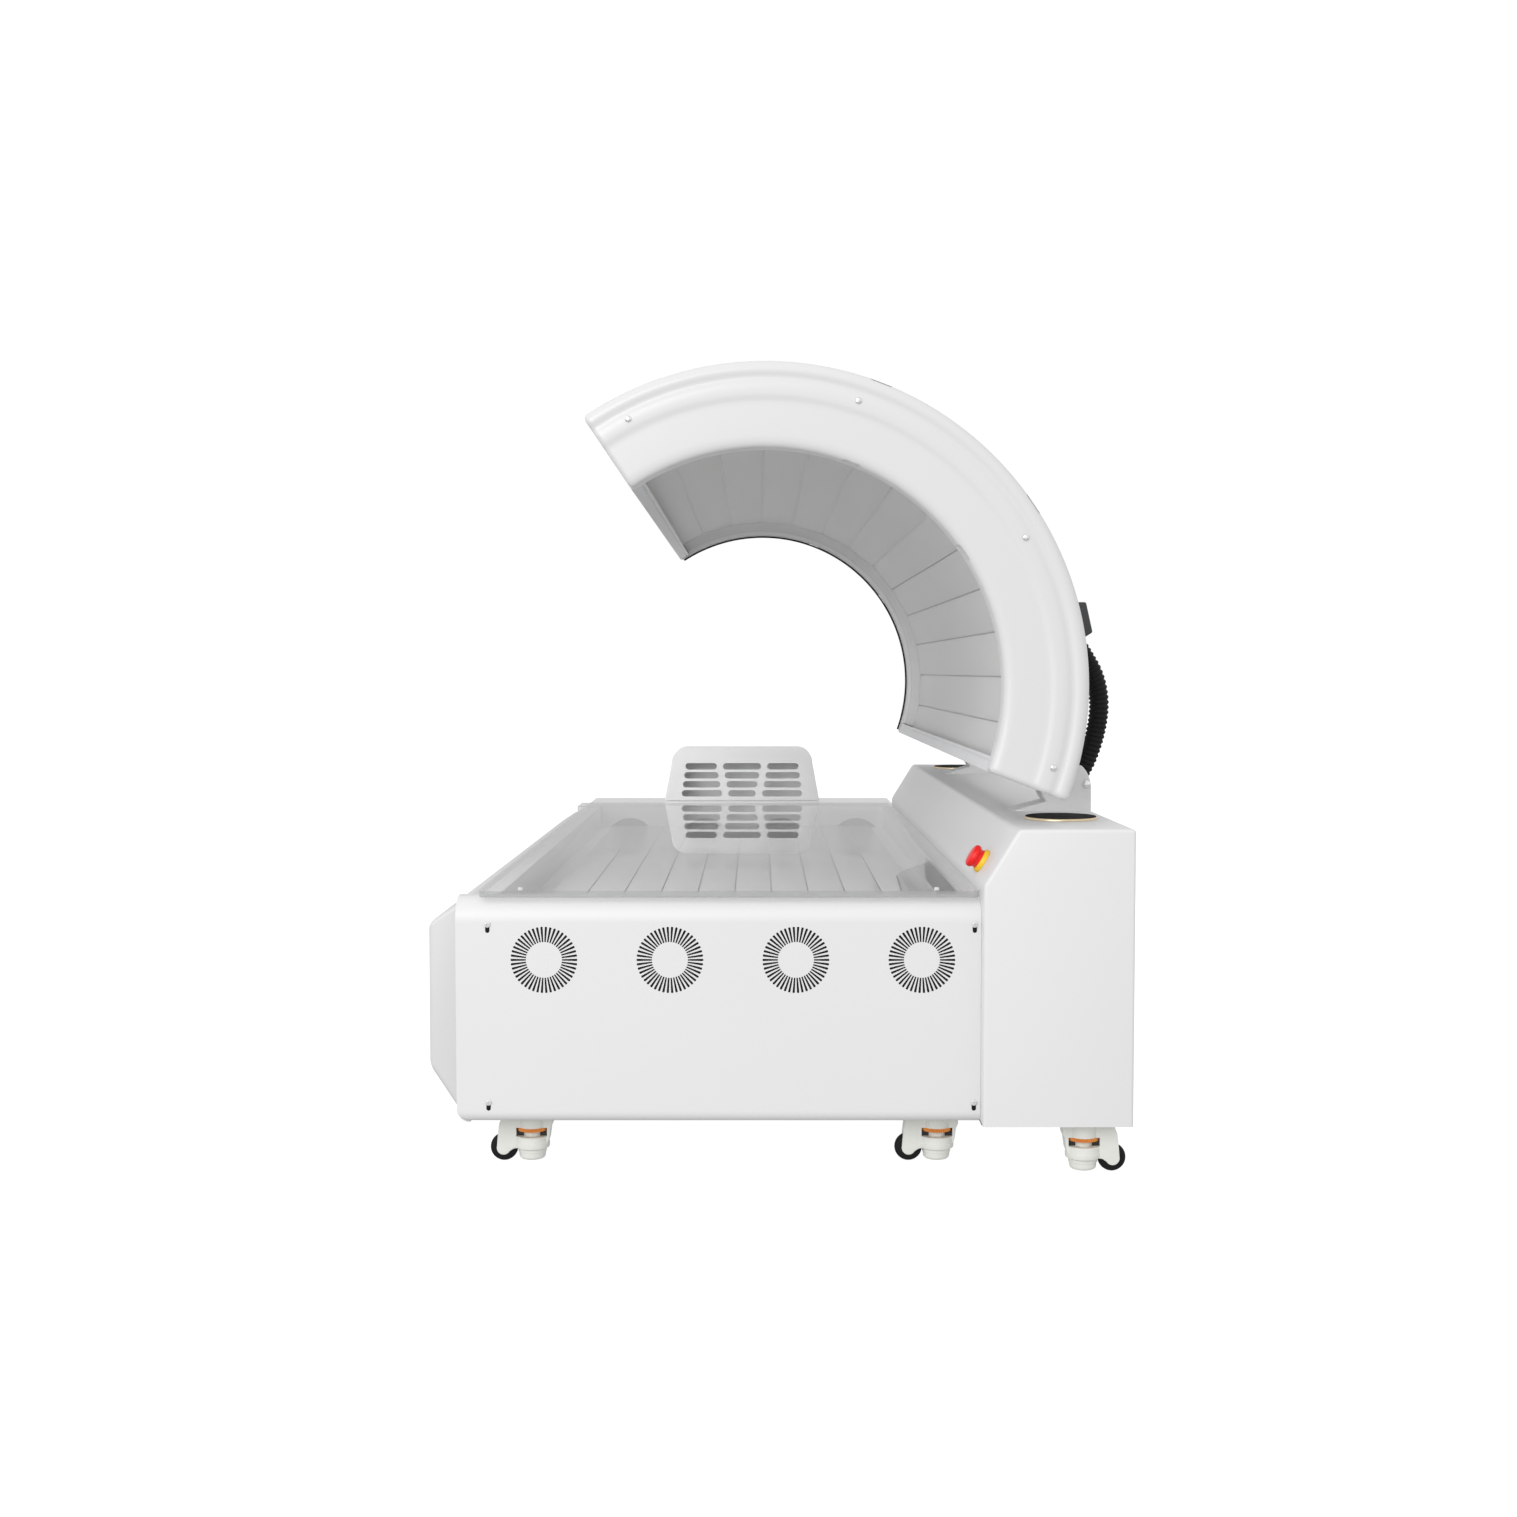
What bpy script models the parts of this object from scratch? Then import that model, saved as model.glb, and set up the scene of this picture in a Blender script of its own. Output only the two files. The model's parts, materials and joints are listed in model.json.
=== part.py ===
# Red light therapy bed: a base tub on levelling castors, a hinge-side column and a swinging LED canopy.
# Metres, +Z up, +X towards the hinge side, +Y from the near end to the head end.
# The origin is on the floor under the middle of the bed.
import math

import bmesh
import bpy
from mathutils import Matrix, Vector

# General sizes
CLEAR = 0.0003              # gap between pieces that touch
SHEET = 0.003               # sheet metal wall
RING_SIDES = 18             # sides of a large turned piece
SMALL_SIDES = 12            # sides of a small turned piece

# Base, from left to right
SKIRT_DEPTH = 0.0485        # skirt face to the end panel's left edge
TUB_WIDTH = 0.8695
COLUMN_WIDTH = 0.2485
HOSE_REACH = 0.0485         # hose bulge beyond the column's outer face

# Base, from near to far
COLUMN_LENGTH = 2.03
TUB_OVERHANG = 0.17         # far end box beyond the column
PANEL_SETBACK = 0.03
SKIRT_SETBACK = 0.05

# Base, heights
UNDERSIDE = 0.087
PANEL_HEIGHT = 0.375
PANEL_TOP_RADIUS = 0.040
PANEL_FOOT_RADIUS = 0.018
PANEL_FLANGE = 0.014        # flat rim behind each rounded edge
PANEL_CORNER = 0.022
SKIRT_FOOT_RISE = 0.0905
SKIRT_FOOT_RUN = 0.057
SKIRT_FACE_HEIGHT = 0.2395
SKIRT_TOP_RISE = 0.033
SKIRT_TOP_RUN = 0.0495
COLUMN_HEIGHT = 0.491
SHOULDER_RUN = 0.0572       # slanted inner shoulder of the column
SHOULDER_RISE = 0.093

# Tray, boards and acrylic sheet
TRAY_WALL = 0.004
TRAY_DEPTH = 0.062
TRAY_SIDE_INSET = 0.066     # from the end panel's left edge to the tray wall
TRAY_COLUMN_INSET = 0.0255
TRAY_FLANGE = 0.028
BOARD_COUNT = 10
BOARD_EDGE = 0.0325         # tray wall to the first board
BOARD_THICK = 0.004
BOARD_SEAM = 0.003
ACRYLIC_THICK = 0.0115
ACRYLIC_COLUMN_GAP = 0.0025
ACRYLIC_SIDE_INSET = 0.038
ACRYLIC_FAR_GAP = 0.010

# Fans and vents
VENT_COUNT = 4
VENT_PITCH = 0.2083
VENT_HEIGHT = 0.359
VENT_OUTER = 0.0545
VENT_INNER = 0.0297
VENT_SLOTS = 22
VENT_SLOT_SHARE = 0.55      # share of the ring that is open
FAN_DEPTH = 0.025
FAN_MARGIN = 0.0035
FAN_BORE = 0.057
FAN_HUB = 0.022
FAN_SPIDER = 0.006
FAN_STRUT = 0.008
ROTOR_RADIUS = 0.0545
ROTOR_DEPTH = 0.015
BLADE_COUNT = 5
BLADE_THICK = 0.003
BLADE_DEPTH = 0.0126
BLADE_ROOT = 0.0175
BLADE_TWIST = math.radians(38)
ARCH_HALF_WIDTH = 0.0535    # round opening in the tray's end walls, at the tray floor
ARCH_RISE = 0.0252

# Headrest
HEADREST_WIDTH = 0.431
HEADREST_TOP_WIDTH = 0.392
HEADREST_HEIGHT = 0.148
HEADREST_DEPTH = 0.120
HEADREST_CORNER = 0.040
HEADREST_WALL = 0.006
HEADREST_LEAN = 0.14        # metres back for each metre up
HEADREST_FAR_GAP = 0.008
HEADREST_ROWS = 4
HEADREST_FIRST_ROW = 0.021
HEADREST_ROW_PITCH = 0.0249
HEADREST_SLOT = 0.018
HEADREST_MID_SLOT = 0.077   # width of the middle slot in the lowest row
HEADREST_MID_GROWTH = 0.0097
HEADREST_BRIDGE = 0.017     # web between slots
HEADREST_EDGE = 0.045       # web beside the outer slots

# Castors
CASTOR_SIDE_INSET = 0.1145
CASTOR_COLUMN_INSET = 0.0645
CASTOR_COLUMN_X = 0.1745
CASTOR_END_INSET = 0.057
CASTOR_COLUMN_END = 0.054
CASTOR_OFFSET = 0.048
CASTOR_HALF_WIDTH = 0.024
CASTOR_BODY = 0.036
CASTOR_LOBE = 0.014
WHEEL_RADIUS = 0.023
WHEEL_WIDTH = 0.017
WHEEL_LIFT = 0.001
WHEEL_ROOM = 0.0025
WHEEL_CORE = 0.016          # flat face of the wheel
WHEEL_TREAD = 0.010         # flat width of the tread
WHEEL_BOSS = 0.007          # axle boss that carries the wheel
PAD_RADIUS = 0.0245
PAD_FOOT = 0.020
PAD_HEIGHT = 0.0175
PAD_WAIST = 0.0105          # height where the pad starts to taper
STEM_RADIUS = 0.009
DIAL_RADIUS = 0.0225
DIAL_HEIGHT = 0.008
DIAL_Z = 0.047
FOOT_TRAVEL = 0.010
WINDOW_ROOM = 0.001

# Canopy, seen along its length
CANOPY_SETBACK = 0.044
CANOPY_FAR_SETBACK = 0.015
CANOPY_RADIUS = 0.537
CANOPY_LIP = 0.395          # inner radius of the end caps
CANOPY_FROM = math.radians(-20.6)
CANOPY_TO = math.radians(124.0)
CANOPY_REACH = 0.544        # canopy's centre to the hinge axis
CANOPY_RISE = 0.188
CANOPY_STEPS = 22
CAP_DEPTH = 0.045
CAP_WALL = 0.006
CAP_EDGE = 0.012
CAP_GROOVE = 0.003
CAP_GROOVE_OUT = 0.510
CAP_GROOVE_IN = 0.470
SHELL_INSET = 0.002
SHELL_THICK = 0.004
RAIL_ANGLE = math.radians(0.9)
LINER_RADIUS = 0.430
LINER_THICK = 0.004
STRIP_COUNT = 13
COVER_RADIUS = 0.408
COVER_THICK = 0.003

# Hinge
HINGE_INSET = 0.062         # column outer face to the hinge axis
HINGE_RISE = 0.042          # hinge axis above the column's top
BRACKET_FROM_END = 0.38
BRACKET_WIDTH = 0.080
BRACKET_CHEEK = 0.014
BRACKET_FOOT = 0.008
BRACKET_BULGE = 0.058
BRACKET_EYE = 0.034
BRACKET_TOE = 0.085
BRACKET_TOE_RISE = 0.0105
BRACKET_TOE_RUN = 0.033
PIN_RADIUS = 0.009
KNUCKLE_EYE = 0.022
KNUCKLE_FOOT = math.radians(13.0)

# Junction box and hose
BOX_FROM_END = 0.40
BOX_LENGTH = 0.16
BOX_HALF_SEAT = 0.030
BOX_TOP = 0.343             # above the hinge axis
BOX_FOOT = 0.248
HOSE_FROM_END = 0.494
HOSE_RADIUS = 0.019
HOSE_VALLEY = 0.0165
HOSE_BORE = 0.0125
HOSE_RIBS = 36
GLAND_FLANGE = 0.030
GLAND_FLANGE_THICK = 0.006
GLAND_RADIUS = 0.023

# Speakers, emergency stop, inlet, power supply
SPEAKER_INSET = 0.088       # column outer face to the speaker's centre
SPEAKER_NEAR = 0.215
SPEAKER_FAR = 0.180
SPEAKER_RADIUS = 0.063
SPEAKER_CONE = 0.055
SPEAKER_MAGNET = 0.033
SPEAKER_DEPTH = 0.045
SPEAKER_RIM = 0.0035
STOP_FROM_END = 0.136
STOP_UP = 0.030             # along the shoulder from its lower edge
STOP_COLLAR = 0.021
STOP_COLLAR_THICK = 0.008
STOP_HEAD = 0.020
STOP_HEAD_THICK = 0.012
STOP_CROWN = 0.016
STOP_STEM = 0.008
STOP_STEM_LENGTH = 0.030
STOP_GAP = 0.007            # under the head, room for its 5 mm travel
INLET_FROM_FAR = 0.15
INLET_HEIGHT = 0.17
INLET_WIDTH = 0.050
INLET_TALL = 0.030
INLET_DEPTH = 0.030
INLET_PROUD = 0.004
SUPPLY_LENGTH = 0.40
SUPPLY_WIDTH = 0.14
SUPPLY_HEIGHT = 0.11
SUPPLY_FROM_END = 0.80
FRAME_TUBE = 0.040
FRAME_INSET = 0.030
FRAME_BAYS = 2

# Places that follow from the sizes
TOTAL_WIDTH = SKIRT_DEPTH + TUB_WIDTH + COLUMN_WIDTH + HOSE_REACH
TOTAL_LENGTH = COLUMN_LENGTH + TUB_OVERHANG
LEFT_X = -TOTAL_WIDTH / 2
PANEL_X = LEFT_X + SKIRT_DEPTH
COLUMN_X = PANEL_X + TUB_WIDTH
OUTER_X = COLUMN_X + COLUMN_WIDTH
NEAR_Y = -TOTAL_LENGTH / 2
COLUMN_FAR = NEAR_Y + COLUMN_LENGTH
FAR_Y = COLUMN_FAR + TUB_OVERHANG
PANEL_Y = NEAR_Y + PANEL_SETBACK
PAN_TOP = UNDERSIDE + SHEET
SEAT_Z = PAN_TOP + CLEAR
PANEL_TOP = UNDERSIDE + PANEL_HEIGHT
COLUMN_TOP = UNDERSIDE + COLUMN_HEIGHT
TRAY_LEFT = PANEL_X + TRAY_SIDE_INSET
TRAY_RIGHT = COLUMN_X - TRAY_COLUMN_INSET
TRAY_NEAR = PANEL_Y + PANEL_TOP_RADIUS + PANEL_FLANGE + CLEAR
TRAY_FAR = COLUMN_FAR
TRAY_TOP = PANEL_TOP - CLEAR
TRAY_FLOOR = TRAY_TOP - TRAY_DEPTH
TRAY_MIDDLE = (TRAY_LEFT + TRAY_RIGHT) / 2
ACRYLIC_Z = PANEL_TOP + CLEAR
ACRYLIC_TOP = ACRYLIC_Z + ACRYLIC_THICK
CANOPY_NEAR = NEAR_Y + CANOPY_SETBACK
CANOPY_FAR = COLUMN_FAR - CANOPY_FAR_SETBACK
HINGE = Vector((OUTER_X - HINGE_INSET, 0.0, COLUMN_TOP + HINGE_RISE))
CENTRE = HINGE + Vector((-CANOPY_REACH, 0.0, CANOPY_RISE))
SHELL_OUTER = CANOPY_RADIUS - SHELL_INSET
HOSE_Y = NEAR_Y + HOSE_FROM_END

# Middle line of the hose from the junction box down to its gland, X and Z from the hinge axis
HOSE_ROUTE = [
    (0.0430, 0.2750), (0.0496, 0.2645), (0.0562, 0.2539), (0.0628, 0.2433), (0.0692, 0.2325),
    (0.0782, 0.2160), (0.0853, 0.1970), (0.0898, 0.1775), (0.0920, 0.1535), (0.0906, 0.1270),
    (0.0862, 0.1010), (0.0792, 0.0750), (0.0690, 0.0470), (0.0570, 0.0235), (0.0503, 0.0119),
    (0.0436, 0.0003), (0.0368, -0.0114), (0.0300, -0.0230),
]


def clear_scene():
    for item in list(bpy.data.objects):
        bpy.data.objects.remove(item, do_unlink=True)


def finish(name, colour, roughness, metallic=0.0, alpha=1.0):
    material = bpy.data.materials.new(name)
    material.use_nodes = True
    shader = material.node_tree.nodes["Principled BSDF"]
    shader.inputs["Base Color"].default_value = (*colour, 1.0)
    shader.inputs["Roughness"].default_value = roughness
    shader.inputs["Metallic"].default_value = metallic
    shader.inputs["Alpha"].default_value = alpha
    return material


def joint_empty(name, place, parent=None):
    empty = bpy.data.objects.new(name, None)
    bpy.context.collection.objects.link(empty)
    empty.parent = parent
    empty.location = place
    return empty


def add_mesh(name, mesh_data, material=None, place=(0.0, 0.0, 0.0), parent=None):
    mesh = bpy.data.meshes.new(name)
    bmesh.ops.recalc_face_normals(mesh_data, faces=mesh_data.faces)
    mesh_data.to_mesh(mesh)
    mesh_data.free()
    item = bpy.data.objects.new(name, mesh)
    bpy.context.collection.objects.link(item)
    item.parent = parent
    item.location = place
    if material is None:
        item.hide_render = True
        item.display_type = 'WIRE'
    else:
        mesh.materials.append(material)
        mesh.shade_smooth()
        mesh.set_sharp_from_angle(angle=math.radians(35))
    return item


def cut(item, cutter, operation='DIFFERENCE'):
    modifier = item.modifiers.new(operation.lower(), 'BOOLEAN')
    modifier.operation = operation
    modifier.solver = 'EXACT'
    modifier.object = cutter
    cutter.hide_render = True
    cutter.display_type = 'WIRE'
    return item


def along(axis, u, v, w):
    # u and v span the outline, w runs along the axis
    if axis == 'X':
        return Vector((w, u, v))
    if axis == 'Y':
        return Vector((u, w, v))
    return Vector((u, v, w))


def prism_mesh(outline, axis, start, end, data=None):
    data = data or bmesh.new()
    low = [data.verts.new(along(axis, u, v, start)) for u, v in outline]
    high = [data.verts.new(along(axis, u, v, end)) for u, v in outline]
    data.faces.new(low)
    data.faces.new(high)
    for index in range(len(outline)):
        after = (index + 1) % len(outline)
        data.faces.new((low[index], low[after], high[after], high[index]))
    return data


def box_outline(left, right, low, high):
    return [(left, low), (right, low), (right, high), (left, high)]


def box_mesh(low, high, data=None):
    return prism_mesh(box_outline(low[0], high[0], low[1], high[1]), 'Z', low[2], high[2], data)


def arc(centre, radius, start, end, steps):
    turn = (end - start) / steps
    return [(centre[0] + radius * math.cos(start + turn * index),
             centre[1] + radius * math.sin(start + turn * index)) for index in range(steps + 1)]


def turned_mesh(profile, sides=RING_SIDES, data=None):
    # profile is (radius, height) from the bottom up, closed over the axis at both ends
    data = data or bmesh.new()
    rings = []
    for radius, height in profile:
        if radius == 0.0:
            rings.append([data.verts.new((0.0, 0.0, height))] * sides)
            continue
        rings.append([data.verts.new((radius * math.cos(math.tau * side / sides),
                                      radius * math.sin(math.tau * side / sides), height))
                      for side in range(sides)])
    for lower, upper in zip(rings, rings[1:]):
        for side in range(sides):
            after = (side + 1) % sides
            corners = [lower[side], lower[after], upper[after], upper[side]]
            data.faces.new(list(dict.fromkeys(corners)))
    for ring in (rings[0], rings[-1]):
        if len(set(ring)) > 1:
            data.faces.new(ring)
    return data


def disc_profile(radius, low, high):
    return [(radius, low), (radius, high)]


def turned_along(axis, mesh_data):
    # lays a turned piece's axis along +X, +Y or another direction
    turn = Vector((0.0, 0.0, 1.0)).rotation_difference(axis).to_matrix().to_4x4()
    bmesh.ops.transform(mesh_data, matrix=turn, verts=mesh_data.verts)
    return mesh_data


def moved(mesh_data, place):
    bmesh.ops.translate(mesh_data, vec=place, verts=mesh_data.verts)
    return mesh_data


def merge(name, pieces, place=(0.0, 0.0, 0.0), parent=None):
    # one cutter or union partner made of bodies that lie apart
    data = bmesh.new()
    for piece in pieces:
        mesh = bpy.data.meshes.new(name)
        bmesh.ops.recalc_face_normals(piece, faces=piece.faces)
        piece.to_mesh(mesh)
        piece.free()
        data.from_mesh(mesh)
        bpy.data.meshes.remove(mesh)
    return add_mesh(name, data, None, place, parent)


AXIS_Y = Vector((0.0, 1.0, 0.0))
WHITE = finish("white_enamel", (0.78, 0.78, 0.78), 0.35)
CAP_WHITE = finish("moulded_white", (0.80, 0.80, 0.80), 0.30)
TRAY_WHITE = finish("tray_white", (0.60, 0.60, 0.60), 0.40)
BOARD = finish("led_board", (0.55, 0.55, 0.55), 0.45)
CLEAR_ACRYLIC = finish("clear_acrylic", (0.90, 0.92, 0.92), 0.05, alpha=0.35)
HEAD_GREY = finish("headrest_white", (0.66, 0.66, 0.66), 0.40)
BLACK = finish("black_plastic", (0.02, 0.02, 0.02), 0.50)
RUBBER = finish("black_rubber", (0.015, 0.015, 0.015), 0.65)
DARK = finish("dark_grey_plastic", (0.08, 0.08, 0.08), 0.50)
CASTOR = finish("castor_nylon", (0.72, 0.72, 0.69), 0.45)
FOOT = finish("foot_nylon", (0.72, 0.72, 0.69), 0.50)
STEEL = finish("zinc_steel", (0.55, 0.55, 0.56), 0.35, 1.0)
ALLOY = finish("rail_aluminium", (0.62, 0.62, 0.63), 0.40, 0.6)
RED = finish("stop_red", (0.65, 0.02, 0.02), 0.30)
YELLOW = finish("stop_yellow", (0.85, 0.60, 0.02), 0.40)


# Base pan, frame, panels and skirt

def pan_outline():
    flange_end = PANEL_Y + PANEL_FOOT_RADIUS + PANEL_FLANGE + CLEAR
    foot_x = LEFT_X + SKIRT_FOOT_RUN
    far = COLUMN_FAR - CLEAR
    return [(foot_x, flange_end), (COLUMN_X, flange_end), (COLUMN_X, NEAR_Y), (OUTER_X, NEAR_Y),
            (OUTER_X, far), (foot_x, far)]


def build_pan():
    add_mesh("base_pan", prism_mesh(pan_outline(), 'Z', UNDERSIDE, PAN_TOP), WHITE)


def build_frame():
    left = TRAY_LEFT + FRAME_INSET
    right = TRAY_RIGHT - FRAME_INSET
    near = TRAY_NEAR + FRAME_INSET
    far = TRAY_FAR - FRAME_INSET
    top = TRAY_FLOOR - CLEAR
    rail_low = top - FRAME_TUBE
    rails = box_mesh((left, near, rail_low), (right, far, top))
    frame = add_mesh("base_frame", rails, ALLOY)
    bay = (far - near - FRAME_TUBE) / FRAME_BAYS
    openings = [box_mesh((left + FRAME_TUBE, near + FRAME_TUBE + bay * index, rail_low - FRAME_TUBE),
                         (right - FRAME_TUBE, near + bay * (index + 1), top + FRAME_TUBE))
                for index in range(FRAME_BAYS)]
    cut(frame, merge("frame_bays", openings))
    legs = []
    for index in range(FRAME_BAYS + 1):
        leg_y = near + bay * index
        for leg_x in (left, right - FRAME_TUBE):
            legs.append(box_mesh((leg_x + SHEET, leg_y + SHEET, SEAT_Z),
                                 (leg_x + FRAME_TUBE - SHEET, leg_y + FRAME_TUBE - SHEET,
                                  top - FRAME_TUBE / 2)))
    cut(frame, merge("frame_legs", legs), 'UNION')


def panel_profile(front, back, toward, inset=0.0):
    # side view of an end panel; toward is +1 when its back lies at greater Y
    top = PANEL_TOP - inset
    foot = UNDERSIDE + inset
    face = front + toward * inset
    top_radius = PANEL_TOP_RADIUS - inset
    foot_radius = PANEL_FOOT_RADIUS - inset
    side = math.pi if toward > 0 else 0.0
    points = [(back, foot)]
    points += arc((face + toward * foot_radius, foot + foot_radius), foot_radius,
                  -math.pi / 2, -math.pi if toward > 0 else 0.0, 4)
    points += arc((face + toward * top_radius, top - top_radius), top_radius, side, math.pi / 2, 6)
    points.append((back, top))
    return points


def vent_places():
    first = TRAY_MIDDLE - VENT_PITCH * (VENT_COUNT - 1) / 2
    return [first + VENT_PITCH * index for index in range(VENT_COUNT)]


def vent_cutter(name, face_y):
    # radial slots, wider at the rim
    step = math.tau / VENT_SLOTS
    half = step * VENT_SLOT_SHARE / 2
    slots = []
    for vent_x in vent_places():
        for index in range(VENT_SLOTS):
            middle = step * index
            outline = []
            for radius, turn in ((VENT_INNER, -half), (VENT_OUTER, -half), (VENT_OUTER, half),
                                 (VENT_INNER, half)):
                outline.append((vent_x + radius * math.cos(middle + turn),
                                VENT_HEIGHT + radius * math.sin(middle + turn)))
            slots.append(prism_mesh(outline, 'Y', face_y - 2 * SHEET, face_y + 2 * SHEET))
    return merge(name, slots)


def corner_cutter(name, near, far):
    # rounds the lower left corner of an end panel
    low = (PANEL_X, UNDERSIDE)
    centre = (low[0] + PANEL_CORNER, low[1] + PANEL_CORNER)
    outline = arc(centre, PANEL_CORNER, -math.pi / 2, -math.pi, 5)
    outline.append((low[0] - SHEET, centre[1]))
    outline.append((low[0] - SHEET, low[1] - SHEET))
    outline.append((centre[0], low[1] - SHEET))
    return add_mesh(name, prism_mesh(outline, 'Y', near - SHEET, far + SHEET))


def build_near_panel():
    back = PANEL_Y + PANEL_FOOT_RADIUS + PANEL_FLANGE
    top_back = PANEL_Y + PANEL_TOP_RADIUS + PANEL_FLANGE
    outer = panel_profile(PANEL_Y, back, 1)
    inner = panel_profile(PANEL_Y, back, 1, SHEET)
    outer[-1] = (top_back, PANEL_TOP)
    inner[-1] = (top_back, PANEL_TOP - SHEET)
    sheet = outer + list(reversed(inner))
    panel = add_mesh("near_end_panel", prism_mesh(sheet, 'X', PANEL_X, COLUMN_X - CLEAR), WHITE)
    cut(panel, vent_cutter("near_vents", PANEL_Y))
    cut(panel, corner_cutter("near_corner", PANEL_Y, top_back))


def build_far_panel():
    start = COLUMN_FAR + CLEAR
    outer = panel_profile(FAR_Y, start, -1)
    panel = add_mesh("far_end_panel", prism_mesh(outer, 'X', PANEL_X, COLUMN_X - CLEAR), WHITE)
    inner = panel_profile(FAR_Y, start - SHEET, -1, SHEET)
    cut(panel, add_mesh("far_hollow", prism_mesh(inner, 'X', PANEL_X + SHEET, COLUMN_X - CLEAR - SHEET)))
    cut(panel, vent_cutter("far_vents", FAR_Y))


def build_skirt():
    face_low = UNDERSIDE + SKIRT_FOOT_RISE
    face_high = face_low + SKIRT_FACE_HEIGHT
    top = face_high + SKIRT_TOP_RISE
    edge = TRAY_LEFT - TRAY_WALL - CLEAR
    foot_x = LEFT_X + SKIRT_FOOT_RUN

    def outline(inset, open_edge):
        return [(foot_x + inset, SEAT_Z + inset), (LEFT_X + inset, face_low + inset / 2),
                (LEFT_X + inset, face_high - inset / 2), (LEFT_X + SKIRT_TOP_RUN + inset, top - inset),
                (open_edge, top - inset), (open_edge, SEAT_Z + inset)]

    near = NEAR_Y + SKIRT_SETBACK
    far = COLUMN_FAR
    skirt = add_mesh("left_side_skirt", prism_mesh(outline(0.0, edge), 'Y', near, far), WHITE)
    hollow = prism_mesh(outline(SHEET, edge + SHEET), 'Y', near + SHEET, far - SHEET)
    cut(skirt, add_mesh("skirt_hollow", hollow))


# Column with its fittings

def column_outline(inset, foot):
    shoulder_low = COLUMN_TOP - SHOULDER_RISE
    return [(COLUMN_X + inset, foot), (OUTER_X - inset, foot), (OUTER_X - inset, COLUMN_TOP - inset),
            (COLUMN_X + SHOULDER_RUN + inset / 2, COLUMN_TOP - inset), (COLUMN_X + inset, shoulder_low)]


def speaker_places():
    middle = OUTER_X - SPEAKER_INSET
    return (("speaker_near", Vector((middle, NEAR_Y + SPEAKER_NEAR, COLUMN_TOP))),
            ("speaker_far", Vector((middle, COLUMN_FAR - SPEAKER_FAR, COLUMN_TOP))))


def stop_frame():
    slope = Vector((SHOULDER_RUN, 0.0, SHOULDER_RISE)).normalized()
    normal = Vector((-slope.z, 0.0, slope.x))
    place = Vector((COLUMN_X, NEAR_Y + STOP_FROM_END, COLUMN_TOP - SHOULDER_RISE)) + slope * STOP_UP
    return place, normal


def build_column():
    column = add_mesh("column_housing",
                      prism_mesh(column_outline(0.0, SEAT_Z), 'Y', NEAR_Y, COLUMN_FAR), WHITE)
    hollow = prism_mesh(column_outline(SHEET, SEAT_Z - SHEET), 'Y', NEAR_Y + SHEET, COLUMN_FAR - SHEET)
    cut(column, add_mesh("column_hollow", hollow))
    holes = []
    for _, place in speaker_places():
        hole = turned_mesh(disc_profile(SPEAKER_CONE + CLEAR, -2 * SHEET, SHEET))
        holes.append(moved(hole, place))
    place, normal = stop_frame()
    hole = turned_mesh(disc_profile(STOP_STEM + CLEAR, -4 * SHEET, SHEET), SMALL_SIDES)
    holes.append(moved(turned_along(normal, hole), place))
    inlet_y = COLUMN_FAR - INLET_FROM_FAR
    holes.append(box_mesh((OUTER_X - 2 * SHEET, inlet_y - INLET_WIDTH / 2 - CLEAR, INLET_HEIGHT - CLEAR),
                          (OUTER_X + SHEET, inlet_y + INLET_WIDTH / 2 + CLEAR,
                           INLET_HEIGHT + INLET_TALL + CLEAR)))
    cut(column, merge("column_holes", holes))


def build_speakers():
    for name, place in speaker_places():
        profile = [(SPEAKER_MAGNET, -SPEAKER_DEPTH), (SPEAKER_CONE, -SPEAKER_DEPTH / 2),
                   (SPEAKER_CONE, CLEAR), (SPEAKER_RADIUS, CLEAR), (SPEAKER_RADIUS, SPEAKER_RIM),
                   (SPEAKER_CONE, SPEAKER_RIM), (SPEAKER_CONE - SPEAKER_RIM, SPEAKER_RIM / 2),
                   (0.0, SPEAKER_RIM)]
        add_mesh(name, turned_mesh(profile), BLACK, place)


def build_stop():
    place, normal = stop_frame()
    base = CLEAR
    top = base + STOP_COLLAR_THICK
    collar = turned_mesh([(STOP_COLLAR, base), (STOP_COLLAR, top - SHEET), (STOP_COLLAR - SHEET, top)])
    collar = add_mesh("estop_collar", turned_along(normal, collar), YELLOW, place)
    bore = turned_mesh(disc_profile(STOP_STEM + CLEAR, base - SHEET, top + SHEET), SMALL_SIDES)
    cut(collar, add_mesh("collar_bore", turned_along(normal, bore), place=place))
    under = top + STOP_GAP
    head = under + STOP_HEAD_THICK
    button = turned_mesh([(STOP_STEM, under - STOP_STEM_LENGTH), (STOP_STEM, under), (STOP_HEAD, under),
                          (STOP_HEAD, head - STOP_HEAD_THICK / 2), (STOP_CROWN, head - SHEET / 2),
                          (0.0, head)], SMALL_SIDES)
    add_mesh("estop_button", turned_along(normal, button), RED, place)


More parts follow.
